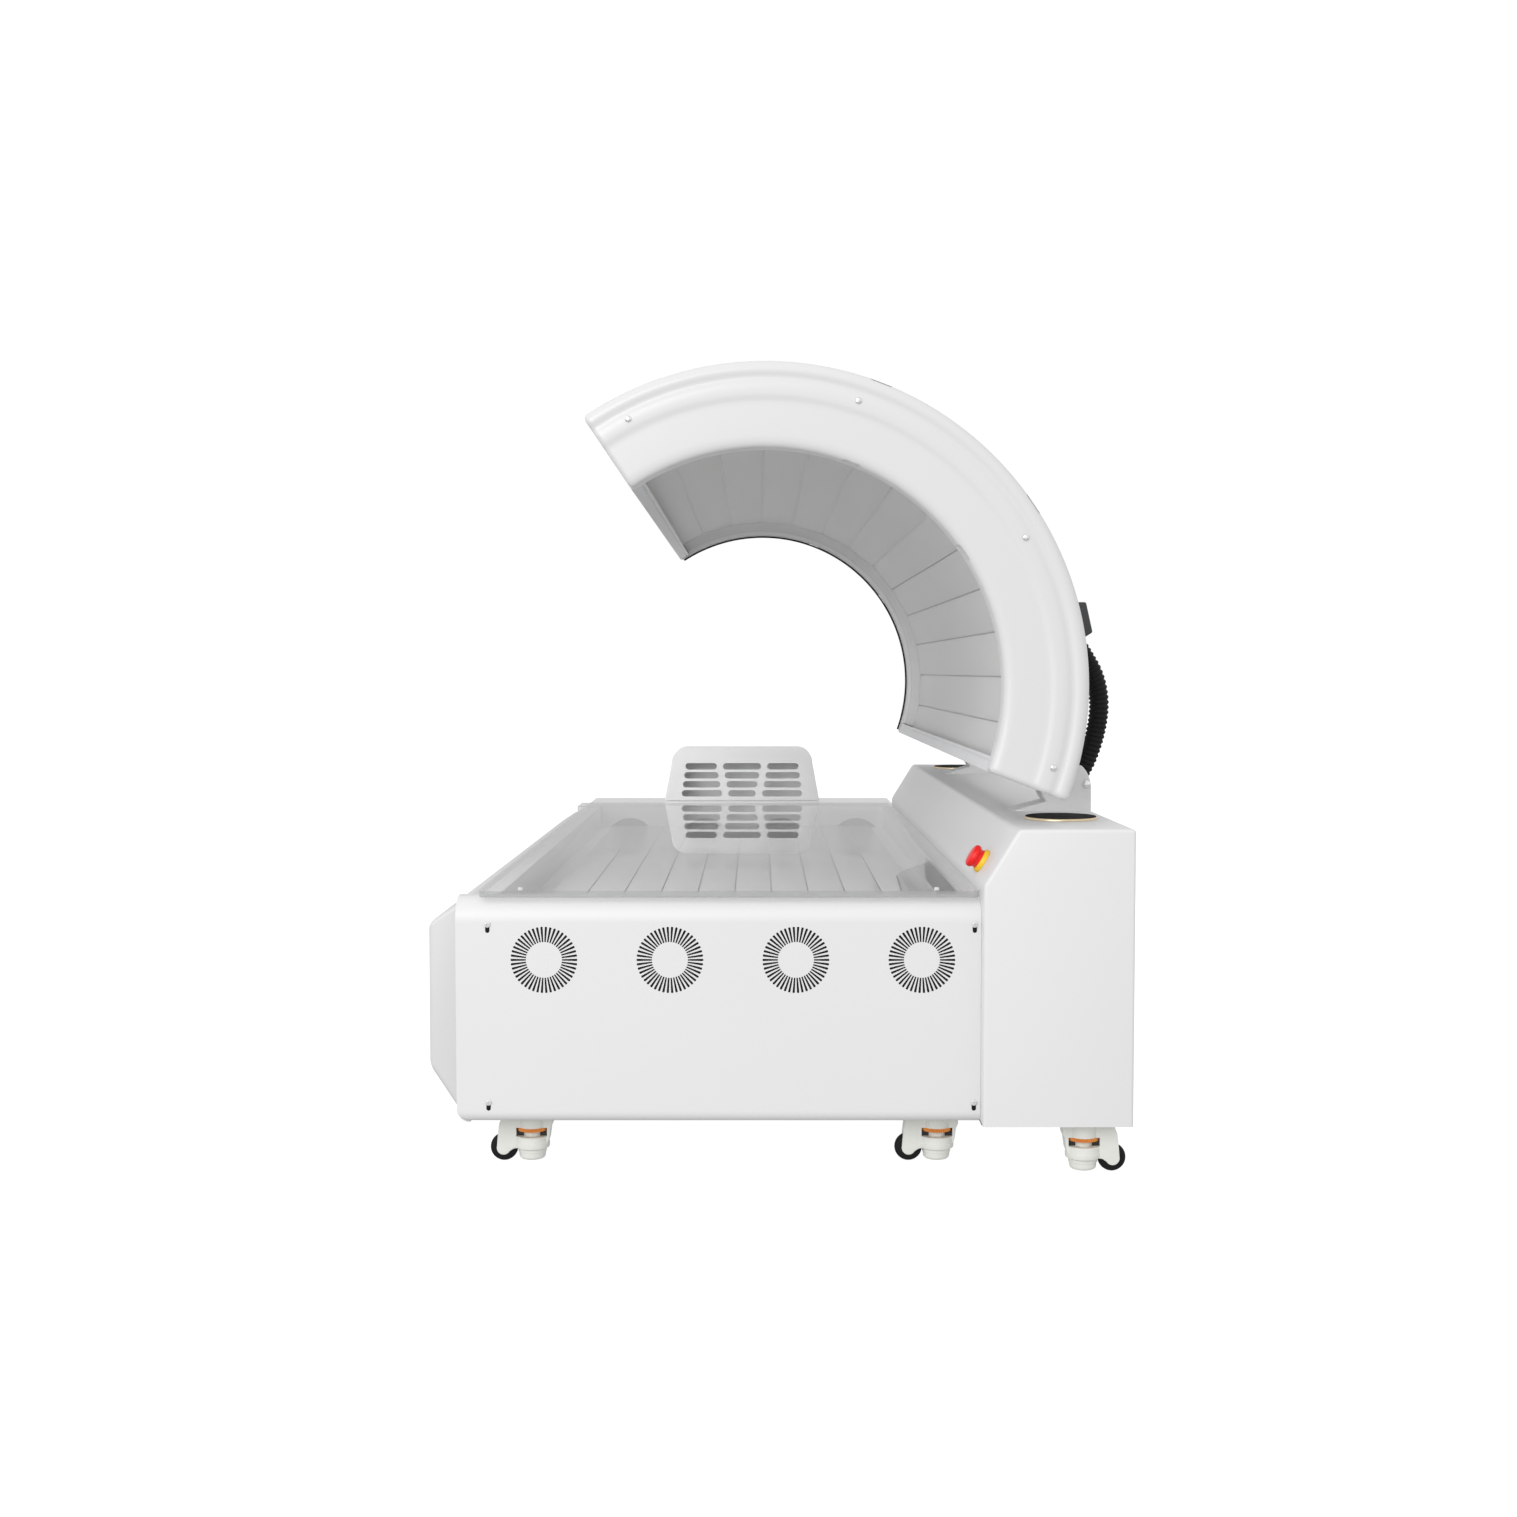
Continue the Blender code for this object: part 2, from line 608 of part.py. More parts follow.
def build_inlet_and_supply():
    inlet_y = COLUMN_FAR - INLET_FROM_FAR
    inlet = box_mesh((OUTER_X - INLET_DEPTH, inlet_y - INLET_WIDTH / 2, INLET_HEIGHT),
                     (OUTER_X + INLET_PROUD, inlet_y + INLET_WIDTH / 2, INLET_HEIGHT + INLET_TALL))
    inlet = add_mesh("mains_inlet", inlet, BLACK)
    half = INLET_WIDTH / 2 - 2 * SHEET
    socket = box_mesh((OUTER_X - INLET_DEPTH / 2, inlet_y - half, INLET_HEIGHT + 2 * SHEET),
                      (OUTER_X + 2 * INLET_PROUD, inlet_y + half, INLET_HEIGHT + INLET_TALL - 2 * SHEET))
    cut(inlet, add_mesh("inlet_socket", socket))
    middle = (COLUMN_X + OUTER_X) / 2
    start = NEAR_Y + SUPPLY_FROM_END
    supply = box_mesh((middle - SUPPLY_WIDTH / 2, start, SEAT_Z),
                      (middle + SUPPLY_WIDTH / 2, start + SUPPLY_LENGTH, SEAT_Z + SUPPLY_HEIGHT))
    add_mesh("power_supply", supply, ALLOY)


# Tray, boards, acrylic sheet and headrest

def build_tray():
    outer_low = (TRAY_LEFT - TRAY_WALL, TRAY_NEAR, TRAY_FLOOR)
    outer_high = (TRAY_RIGHT + TRAY_WALL, TRAY_FAR, TRAY_TOP)
    tray = add_mesh("bed_led_tray", box_mesh(outer_low, outer_high), TRAY_WHITE)
    flange = box_mesh((TRAY_LEFT - TRAY_FLANGE, TRAY_NEAR + 2 * TRAY_WALL, TRAY_TOP - TRAY_WALL),
                      (COLUMN_X - CLEAR, TRAY_FAR - 2 * TRAY_WALL, TRAY_TOP))
    cut(tray, add_mesh("tray_flange", flange), 'UNION')
    hollow = box_mesh((TRAY_LEFT, TRAY_NEAR + TRAY_WALL, TRAY_FLOOR + TRAY_WALL),
                      (TRAY_RIGHT, TRAY_FAR - TRAY_WALL, TRAY_TOP + TRAY_WALL))
    cut(tray, add_mesh("tray_hollow", hollow))
    arches = []
    sill = TRAY_FLOOR + TRAY_WALL + CLEAR
    radius = (ARCH_HALF_WIDTH ** 2 + ARCH_RISE ** 2) / (2 * ARCH_RISE)
    opening = math.asin(ARCH_HALF_WIDTH / radius)
    for vent_x in vent_places():
        outline = arc((vent_x, sill + ARCH_RISE - radius), radius,
                      math.pi / 2 - opening, math.pi / 2 + opening, 10)
        arches.append(prism_mesh(outline, 'Y', TRAY_FAR - 2 * TRAY_WALL, TRAY_FAR + TRAY_WALL))
        arches.append(prism_mesh(outline, 'Y', TRAY_NEAR - TRAY_WALL, TRAY_NEAR + 2 * TRAY_WALL))
    cut(tray, merge("tray_arches", arches))


def build_boards():
    low = TRAY_FLOOR + TRAY_WALL + CLEAR
    high = low + BOARD_THICK
    first = TRAY_LEFT + BOARD_EDGE
    last = TRAY_RIGHT - BOARD_EDGE
    pitch = (last - first) / BOARD_COUNT
    outline = [(first, low), (last, low)]
    for index in range(BOARD_COUNT, 0, -1):
        right = first + pitch * index
        left = right - pitch
        outline += [(right, high - BOARD_SEAM), (right - BOARD_SEAM, high), (left + BOARD_SEAM, high)]
    outline.append((first, high - BOARD_SEAM))
    near = TRAY_NEAR + TRAY_WALL + BOARD_SEAM
    far = TRAY_FAR - TRAY_WALL - BOARD_SEAM
    add_mesh("bed_led_boards", prism_mesh(outline, 'Y', near, far), BOARD)


def build_acrylic():
    left = PANEL_X + ACRYLIC_SIDE_INSET
    right = COLUMN_X - ACRYLIC_COLUMN_GAP
    sheet = box_mesh((left, PANEL_Y, ACRYLIC_Z), (right, FAR_Y - ACRYLIC_FAR_GAP, ACRYLIC_TOP))
    sheet = add_mesh("bed_acrylic_sheet", sheet, CLEAR_ACRYLIC)
    bevel = sheet.modifiers.new("polished_edge", 'BEVEL')
    bevel.width = ACRYLIC_THICK / 4
    bevel.segments = 2


def headrest_outline(inset):
    # front view, from the lower left corner round to the lower right one
    half_low = HEADREST_WIDTH / 2 - inset
    half_top = HEADREST_TOP_WIDTH / 2 - inset
    top = HEADREST_HEIGHT - inset
    radius = HEADREST_CORNER - inset
    left = arc((-half_top + radius, top - radius), radius, math.pi, math.pi / 2, 6)
    right = [(-u, v) for u, v in reversed(left)]
    return [(-half_low, 0.0)] + left + right + [(half_low, 0.0)]


def leaning(mesh_data, front):
    # tips the front face back as it rises
    for vertex in mesh_data.verts:
        if abs(vertex.co.y - front) < CLEAR:
            vertex.co.y += HEADREST_LEAN * vertex.co.z
    return mesh_data


def slot_outline(left, right, middle):
    radius = HEADREST_SLOT / 2
    return (arc((left + radius, middle), radius, math.pi * 1.5, math.pi * 0.5, 4)
            + arc((right - radius, middle), radius, math.pi * 0.5, -math.pi * 0.5, 4))


def build_headrest():
    far = FAR_Y - ACRYLIC_FAR_GAP - HEADREST_FAR_GAP
    seat = Vector((TRAY_MIDDLE, far - HEADREST_DEPTH, ACRYLIC_TOP + CLEAR))
    body = leaning(prism_mesh(headrest_outline(0.0), 'Y', 0.0, HEADREST_DEPTH), 0.0)
    headrest = add_mesh("headrest", body, HEAD_GREY, seat)
    inner = [(u, v - HEADREST_WALL if v == 0.0 else v) for u, v in headrest_outline(HEADREST_WALL)]
    hollow = prism_mesh(inner, 'Y', HEADREST_WALL, HEADREST_DEPTH - HEADREST_WALL)
    cut(headrest, add_mesh("headrest_hollow", leaning(hollow, HEADREST_WALL), place=seat))
    slots = []
    depth = 3 * HEADREST_WALL + HEADREST_LEAN * HEADREST_HEIGHT
    for row in range(HEADREST_ROWS):
        middle = HEADREST_FIRST_ROW + HEADREST_ROW_PITCH * row
        narrowing = (HEADREST_WIDTH - HEADREST_TOP_WIDTH) / 2 * middle / HEADREST_HEIGHT
        half = HEADREST_WIDTH / 2 - narrowing - HEADREST_EDGE
        inside = (HEADREST_MID_SLOT + HEADREST_MID_GROWTH * row) / 2
        for left, right in ((-inside, inside), (-half, -inside - HEADREST_BRIDGE),
                            (inside + HEADREST_BRIDGE, half)):
            slots.append(prism_mesh(slot_outline(left, right, middle), 'Y', -HEADREST_WALL, depth))
    cut(headrest, merge("headrest_slots", slots, seat))


# Fans

def build_fan_tray(name, rotor_name, face, toward):
    # toward is +1 when the fans lie at greater Y than the panel face
    front = face + toward * (SHEET + CLEAR)
    back = front + toward * FAN_DEPTH
    half = FAN_BORE + FAN_MARGIN
    places = vent_places()
    plate = prism_mesh(box_outline(places[0] - half, places[-1] + half,
                                   VENT_HEIGHT - half, VENT_HEIGHT + half), 'Y', front, back)
    tray = add_mesh(name, plate, DARK)
    bores = []
    spiders = []
    for vent_x in places:
        bore = turned_along(AXIS_Y, turned_mesh(disc_profile(FAN_BORE, -2 * FAN_DEPTH, 2 * FAN_DEPTH)))
        bores.append(moved(bore, (vent_x, (front + back) / 2, VENT_HEIGHT)))
        spider_front = back - toward * FAN_SPIDER
        reach = FAN_BORE + FAN_MARGIN / 2
        outline = []
        for arm in range(4):
            middle = math.tau * arm / 4
            for radius, side in ((FAN_HUB, -1), (reach, -1), (reach, 1), (FAN_HUB, 1)):
                turn = side * FAN_STRUT / 2 / radius
                outline.append((vent_x + radius * math.cos(middle + turn),
                                VENT_HEIGHT + radius * math.sin(middle + turn)))
        spiders.append(prism_mesh(outline, 'Y', spider_front, back - toward * SHEET / 4))
    cut(tray, merge(name + "_bores", bores))
    cut(tray, merge(name + "_spiders", spiders), 'UNION')
    seat = back - toward * (FAN_SPIDER + CLEAR)
    for index, vent_x in enumerate(places):
        hub = turned_mesh(disc_profile(FAN_HUB, 0.0, ROTOR_DEPTH), SMALL_SIDES)
        axis = Vector((vent_x, seat, VENT_HEIGHT))
        rotor = add_mesh(f"{rotor_name}_{index + 1}", turned_along(AXIS_Y * -toward, hub), BLACK, axis)
        blades = []
        for blade in range(BLADE_COUNT):
            data = box_mesh((BLADE_ROOT, -BLADE_THICK / 2, -BLADE_DEPTH / 2),
                            (ROTOR_RADIUS, BLADE_THICK / 2, BLADE_DEPTH / 2))
            twist = Matrix.Rotation(BLADE_TWIST, 4, 'X')
            spin = Matrix.Rotation(math.tau * blade / BLADE_COUNT, 4, 'Z')
            bmesh.ops.transform(data, matrix=spin @ twist, verts=data.verts)
            moved(data, (0.0, 0.0, ROTOR_DEPTH / 2))
            blades.append(turned_along(AXIS_Y * -toward, data))
        cut(rotor, merge(f"{rotor_name}_{index + 1}_blades", blades, axis), 'UNION')


# Castors

def castor_places():
    left = PANEL_X + CASTOR_SIDE_INSET
    right = COLUMN_X - CASTOR_COLUMN_INSET
    column = COLUMN_X + CASTOR_COLUMN_X
    near = PANEL_Y + PANEL_FOOT_RADIUS + PANEL_FLANGE + CASTOR_END_INSET
    far = COLUMN_FAR - CASTOR_END_INSET
    return (("near_left", left, near, -1), ("near_right", right, near, -1),
            ("near_column", column, NEAR_Y + CASTOR_COLUMN_END, 1),
            ("far_left", left, far, -1), ("far_right", right, far, -1),
            ("far_column", column, COLUMN_FAR - CASTOR_COLUMN_END, 1))


def castor_body(name, side, parent):
    # side is -1 when the wheel trails towards -X
    top = UNDERSIDE - CLEAR
    low = PAD_HEIGHT + CLEAR
    wheel_x = side * CASTOR_OFFSET
    wheel_z = WHEEL_RADIUS + WHEEL_LIFT
    window_low = DIAL_Z - FOOT_TRAVEL - WINDOW_ROOM
    window_high = DIAL_Z + DIAL_HEIGHT + WINDOW_ROOM
    lobe = arc((CASTOR_OFFSET, wheel_z), CASTOR_LOBE, math.radians(-110), math.radians(20), 6)
    outline = [(-CASTOR_BODY, top), (-CASTOR_BODY, window_low), (-CASTOR_BODY + 2 * SHEET, low),
               (CASTOR_OFFSET - CASTOR_LOBE, low)] + lobe
    outline += [(CASTOR_OFFSET + CASTOR_LOBE - SHEET, (window_high + top) / 2),
                (CASTOR_OFFSET - SHEET, top - SHEET), (CASTOR_BODY, top)]
    outline = [(side * u, v) for u, v in outline]
    fork = add_mesh(name, prism_mesh(outline, 'Y', -CASTOR_HALF_WIDTH, CASTOR_HALF_WIDTH), CASTOR,
                    parent=parent)
    room = WHEEL_RADIUS + WHEEL_ROOM
    half = WHEEL_WIDTH / 2 + WHEEL_ROOM
    well = turned_along(AXIS_Y, turned_mesh(disc_profile(room, -half, half), SMALL_SIDES))
    cut(fork, merge(name + "_well", [moved(well, (wheel_x, 0.0, wheel_z))], parent=parent))
    window = DIAL_RADIUS + WINDOW_ROOM
    opening = box_mesh((-window, -2 * CASTOR_HALF_WIDTH, window_low),
                       (window, 2 * CASTOR_HALF_WIDTH, window_high))
    cut(fork, add_mesh(name + "_window", opening, parent=parent))
    stem = turned_mesh(disc_profile(STEM_RADIUS + CLEAR, 0.0, window_high + STEM_RADIUS), SMALL_SIDES)
    cut(fork, add_mesh(name + "_stem_bore", stem, parent=parent))
    bosses = []
    for face in (-1, 1):
        boss = turned_mesh(disc_profile(WHEEL_BOSS, 0.0, WHEEL_ROOM - CLEAR + SHEET), SMALL_SIDES)
        boss = turned_along(AXIS_Y * -face, boss)
        bosses.append(moved(boss, (wheel_x, face * (half + SHEET), wheel_z)))
    cut(fork, merge(name + "_bosses", bosses, parent=parent), 'UNION')
    return wheel_x, wheel_z


def build_castors():
    for name, place_x, place_y, side in castor_places():
        swivel = joint_empty(f"castor_{name}_swivel", (place_x, place_y, 0.0))
        wheel_x, wheel_z = castor_body(f"castor_fork_{name}", side, swivel)
        half = WHEEL_WIDTH / 2
        tread = WHEEL_TREAD / 2
        wheel = turned_mesh([(WHEEL_CORE, -half), (WHEEL_RADIUS, -tread), (WHEEL_RADIUS, tread),
                             (WHEEL_CORE, half)])
        add_mesh(f"castor_wheel_{name}", turned_along(AXIS_Y, wheel), RUBBER,
                 (wheel_x, 0.0, wheel_z), swivel)
        foot = turned_mesh([(PAD_FOOT, 0.0), (PAD_RADIUS, PAD_WAIST), (PAD_RADIUS, PAD_HEIGHT),
                            (STEM_RADIUS, PAD_HEIGHT), (STEM_RADIUS, DIAL_Z), (DIAL_RADIUS, DIAL_Z),
                            (DIAL_RADIUS, DIAL_Z + DIAL_HEIGHT), (STEM_RADIUS, DIAL_Z + DIAL_HEIGHT),
                            (STEM_RADIUS, DIAL_Z + DIAL_HEIGHT + STEM_RADIUS)], SMALL_SIDES)
        add_mesh(f"levelling_foot_{name}", foot, FOOT, parent=swivel)


# Canopy

def sector(inner, outer, start, end, steps=CANOPY_STEPS):
    centre = (CENTRE.x - HINGE.x, CENTRE.z - HINGE.z)
    return (arc(centre, outer, start, end, steps) + arc(centre, inner, end, start, steps))


def revolve_sector(profile, start, end, steps=CANOPY_STEPS):
    # profile is (radius, y) round a closed loop, swept about the canopy's centre line
    data = bmesh.new()
    centre = CENTRE - HINGE
    rings = []
    for step in range(steps + 1):
        turn = start + (end - start) * step / steps
        rings.append([data.verts.new((centre.x + radius * math.cos(turn), y,
                                      centre.z + radius * math.sin(turn))) for radius, y in profile])
    for first, second in zip(rings, rings[1:]):
        for index in range(len(profile)):
            after = (index + 1) % len(profile)
            data.faces.new((first[index], first[after], second[after], second[index]))
    data.faces.new(rings[0])
    data.faces.new(rings[-1])
    return data


def cap_profile(face, toward):
    # hollow moulding: rounded rims, a raised band between two grooves, open at the back
    def at(depth):
        return face + toward * depth

    outer, inner = CANOPY_RADIUS, CANOPY_LIP
    return [(outer, at(CAP_DEPTH)), (outer, at(CAP_EDGE)), (outer - CAP_EDGE * 0.3, at(CAP_EDGE * 0.3)),
            (outer - CAP_EDGE, at(0.0)), (CAP_GROOVE_OUT, at(0.0)), (CAP_GROOVE_OUT, at(CAP_GROOVE)),
            (CAP_GROOVE_IN, at(CAP_GROOVE)), (CAP_GROOVE_IN, at(0.0)), (inner + CAP_EDGE, at(0.0)),
            (inner + CAP_EDGE * 0.3, at(CAP_EDGE * 0.3)), (inner, at(CAP_EDGE)), (inner, at(CAP_DEPTH)),
            (inner + CAP_WALL, at(CAP_DEPTH)), (inner + CAP_WALL, at(CAP_EDGE + CAP_WALL)),
            (outer - CAP_WALL, at(CAP_EDGE + CAP_WALL)), (outer - CAP_WALL, at(CAP_DEPTH))]


def build_canopy(hinge):
    start, end = CANOPY_FROM, CANOPY_TO
    for name, face, toward in (("canopy_near_cap", CANOPY_NEAR, 1), ("canopy_far_cap", CANOPY_FAR, -1)):
        add_mesh(name, revolve_sector(cap_profile(face, toward), start, end), CAP_WHITE, parent=hinge)
    near = CANOPY_NEAR + CAP_DEPTH + CLEAR
    far = CANOPY_FAR - CAP_DEPTH - CLEAR
    shell_inner = SHELL_OUTER - SHELL_THICK
    shell = sector(shell_inner, SHELL_OUTER, start, end)
    add_mesh("canopy_shell", prism_mesh(shell, 'Y', near, far), CAP_WHITE, parent=hinge)
    flat_dip = math.cos((end - start) / CANOPY_STEPS / 2)
    rail_outer = shell_inner * flat_dip - CLEAR
    inside = CANOPY_LIP + SHELL_INSET
    for name, low, high in (("canopy_rear_rail", start, start + RAIL_ANGLE),
                            ("canopy_front_rail", end - RAIL_ANGLE, end)):
        add_mesh(name, prism_mesh(sector(inside, rail_outer, low, high, 1), 'Y', near, far), ALLOY,
                 parent=hinge)
    play = CLEAR / inside
    low = start + RAIL_ANGLE + play
    high = end - RAIL_ANGLE - play
    liner = sector(LINER_RADIUS, LINER_RADIUS + LINER_THICK, low, high, STRIP_COUNT)
    add_mesh("canopy_led_liner", prism_mesh(liner, 'Y', near, far), BOARD, parent=hinge)
    cover = sector(COVER_RADIUS - COVER_THICK, COVER_RADIUS, low, high)
    add_mesh("canopy_acrylic_cover", prism_mesh(cover, 'Y', near, far), CLEAR_ACRYLIC, parent=hinge)


def bracket_places():
    near = NEAR_Y + BRACKET_FROM_END
    far = COLUMN_FAR - BRACKET_FROM_END - BRACKET_WIDTH
    return (("near", near), ("far", far))


def bracket_outline():
    foot = COLUMN_TOP + CLEAR - HINGE.z
    toe = -BRACKET_TOE
    outline = [(toe, foot), (toe + BRACKET_TOE_RUN, foot + BRACKET_TOE_RISE)]
    outline += arc((0.0, 0.0), BRACKET_EYE, math.radians(225), math.radians(75), 8)
    outline += arc((0.0, 0.0), BRACKET_BULGE, math.radians(48), 0.0, 5)
    outline.append((BRACKET_BULGE, foot))
    return outline


def build_hinges(hinge):
    centre = (CENTRE.x - HINGE.x, CENTRE.z - HINGE.z)
    toward = math.atan2(-centre[1], -centre[0])
    seat = SHELL_OUTER + CLEAR
    foot = COLUMN_TOP + CLEAR - HINGE.z
    for name, start in bracket_places():
        axis = Vector((HINGE.x, start, HINGE.z))
        bracket = prism_mesh(bracket_outline(), 'Y', 0.0, BRACKET_WIDTH)
        bracket = add_mesh(f"hinge_bracket_{name}", bracket, WHITE, axis)
        slot = box_mesh((-2 * BRACKET_TOE, BRACKET_CHEEK, foot + BRACKET_FOOT),
                        (2 * BRACKET_TOE, BRACKET_WIDTH - BRACKET_CHEEK, 2 * BRACKET_BULGE))
        cut(bracket, add_mesh(f"bracket_slot_{name}", slot, place=axis))
        # the bore's flats clear the pin's corners as the knuckle turns
        bore_radius = (PIN_RADIUS + CLEAR) / math.cos(math.pi / SMALL_SIDES)
        bore = turned_mesh(disc_profile(bore_radius, -SHEET, BRACKET_WIDTH + SHEET), SMALL_SIDES)
        bore_cutter = add_mesh(f"hinge_bore_{name}", turned_along(AXIS_Y, bore), place=axis)
        cut(bracket, bore_cutter)
        pin = turned_mesh(disc_profile(PIN_RADIUS, 0.0, BRACKET_WIDTH), SMALL_SIDES)
        add_mesh(f"hinge_pin_{name}", turned_along(AXIS_Y, pin), STEEL, axis)
        low = max(CANOPY_FROM, toward - KNUCKLE_FOOT)
        outline = arc(centre, seat, low, toward + KNUCKLE_FOOT, 8)
        outline += arc((0.0, 0.0), KNUCKLE_EYE, math.radians(75), math.radians(-125), 10)
        knuckle = prism_mesh(outline, 'Y', start + BRACKET_CHEEK + CLEAR,
                             start + BRACKET_WIDTH - BRACKET_CHEEK - CLEAR)
        knuckle = add_mesh(f"canopy_knuckle_{name}", knuckle, WHITE, parent=hinge)
        cut(knuckle, bore_cutter)


# Junction box, hose and gland

def end_direction(first, second):
    return Vector((first[0] - second[0], 0.0, first[1] - second[1])).normalized()


def build_junction_box(hinge):
    leave = end_direction(HOSE_ROUTE[1], HOSE_ROUTE[0])
    across = Vector((-leave.z, 0.0, leave.x))
    mouth = Vector((HOSE_ROUTE[0][0], 0.0, HOSE_ROUTE[0][1])) - leave * CLEAR
    centre = CENTRE - HINGE
    right = mouth + across * BOX_HALF_SEAT
    left = mouth - across * BOX_HALF_SEAT
    seat = SHELL_OUTER + CLEAR
    top_angle = math.asin((BOX_TOP - centre.z) / seat)
    foot_angle = math.asin((BOX_FOOT - centre.z) / seat)
    outline = arc((centre.x, centre.z), seat, top_angle, foot_angle, 4)
    outline += [(left.x, left.z), (right.x, right.z), (right.x, BOX_TOP)]
    start = NEAR_Y + BOX_FROM_END
    box = prism_mesh(outline, 'Y', start, start + BOX_LENGTH)
    add_mesh("canopy_junction_box", box, DARK, parent=hinge)


def smooth_route(points, count):
    # even points along a smooth curve through the route's own points
    def bend(a, b, c, d, t):
        return 0.5 * (2 * b + (c - a) * t + (2 * a - 5 * b + 4 * c - d) * t * t
                      + (3 * b - a - 3 * c + d) * t ** 3)

    route = [Vector((HINGE.x + x, HOSE_Y, HINGE.z + z)) for x, z in points]
    route = [2 * route[0] - route[1]] + route + [2 * route[-1] - route[-2]]
    fine = []
    for index in range(1, len(route) - 2):
        for step in range(20):
            fine.append(bend(*route[index - 1:index + 3], step / 20))
    fine.append(route[-2])
    lengths = [0.0]
    for first, second in zip(fine, fine[1:]):
        lengths.append(lengths[-1] + (second - first).length)
    even = []
    for index in range(count):
        wanted = lengths[-1] * index / (count - 1)
        here = max(i for i, length in enumerate(lengths) if length <= wanted + 1e-9)
        here = min(here, len(fine) - 2)
        share = (wanted - lengths[here]) / (lengths[here + 1] - lengths[here])
        even.append(fine[here].lerp(fine[here + 1], share))
    return even


def tube(name, points, radii, material=None):
    curve = bpy.data.curves.new(name, 'CURVE')
    curve.dimensions = '3D'
    curve.bevel_depth = 1.0
    curve.bevel_resolution = 2
    curve.use_fill_caps = True
    curve.twist_mode = 'MINIMUM'
    spline = curve.splines.new('POLY')
    spline.points.add(len(points) - 1)
    for place, radius, point in zip(points, radii, spline.points):
        point.co = (*place, 1.0)
        point.radius = radius
    item = bpy.data.objects.new(name, curve)
    bpy.context.collection.objects.link(item)
    if material is None:
        item.hide_render = True
        item.display_type = 'WIRE'
    else:
        curve.materials.append(material)
    return item


def build_hose():
    points = smooth_route(HOSE_ROUTE, 2 * HOSE_RIBS + 1)
    radii = [HOSE_VALLEY if index % 2 == 0 else HOSE_RADIUS for index in range(len(points))]
    hose = tube("wiring_hose", points, radii, RUBBER)
    bore_points = smooth_route(HOSE_ROUTE, HOSE_RIBS // 3 + 1)
    bore_points[0] = bore_points[0] * 2 - bore_points[1]
    bore_points[-1] = bore_points[-1] * 2 - bore_points[-2]
    bore = tube("hose_bore", bore_points, [HOSE_BORE] * len(bore_points))
    return hose, bore


def as_mesh(item):
    # a tube becomes a mesh, so that it can be cut
    name = item.name
    mesh = bpy.data.meshes.new_from_object(item.evaluated_get(bpy.context.evaluated_depsgraph_get()))
    data = bmesh.new()
    data.from_mesh(mesh)
    bmesh.ops.remove_doubles(data, verts=data.verts, dist=1e-6)
    material = mesh.materials[0] if mesh.materials else None
    bpy.data.objects.remove(item, do_unlink=True)
    return add_mesh(name, data, material)


def build_gland():
    enter = end_direction(HOSE_ROUTE[-2], HOSE_ROUTE[-1])
    mouth = Vector((HINGE.x + HOSE_ROUTE[-1][0], HOSE_Y, HINGE.z + HOSE_ROUTE[-1][1])) - enter * CLEAR
    base = COLUMN_TOP + CLEAR
    foot = mouth - enter * ((mouth.z - base) / enter.z)
    neck = turned_mesh(disc_profile(GLAND_RADIUS, -2 * GLAND_RADIUS, (mouth - foot).length))
    neck = turned_along(enter, neck)
    flange = turned_mesh(disc_profile(GLAND_FLANGE, 0.0, GLAND_FLANGE_THICK))
    seat = (foot.x, HOSE_Y, base)
    gland = add_mesh("hose_gland", flange, DARK, seat)
    cut(gland, add_mesh("gland_neck", neck, place=seat), 'UNION')
    below = box_mesh((-2 * GLAND_FLANGE, -2 * GLAND_FLANGE, -4 * GLAND_RADIUS),
                     (2 * GLAND_FLANGE, 2 * GLAND_FLANGE, 0.0))
    cut(gland, add_mesh("gland_below", below, place=seat))


def main():
    clear_scene()
    build_pan()
    build_frame()
    build_near_panel()
    build_far_panel()
    build_skirt()
    build_column()
    build_speakers()
    build_stop()
    build_inlet_and_supply()
    build_tray()
    build_boards()
    build_acrylic()
    build_headrest()
    build_fan_tray("fan_tray_near", "fan_rotor_near", PANEL_Y, 1)
    build_fan_tray("fan_tray_far", "fan_rotor_far", FAR_Y, -1)
    build_castors()
    hinge = joint_empty("canopy_hinge", HINGE)
    build_canopy(hinge)
    build_hinges(hinge)
    build_junction_box(hinge)
    hose, bore = build_hose()
    cut(as_mesh(hose), as_mesh(bore))
    build_gland()


main()
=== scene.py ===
# Red light therapy bed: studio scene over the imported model, all in metres, +Z up
import json
import math

import bpy
from mathutils import Matrix, Vector


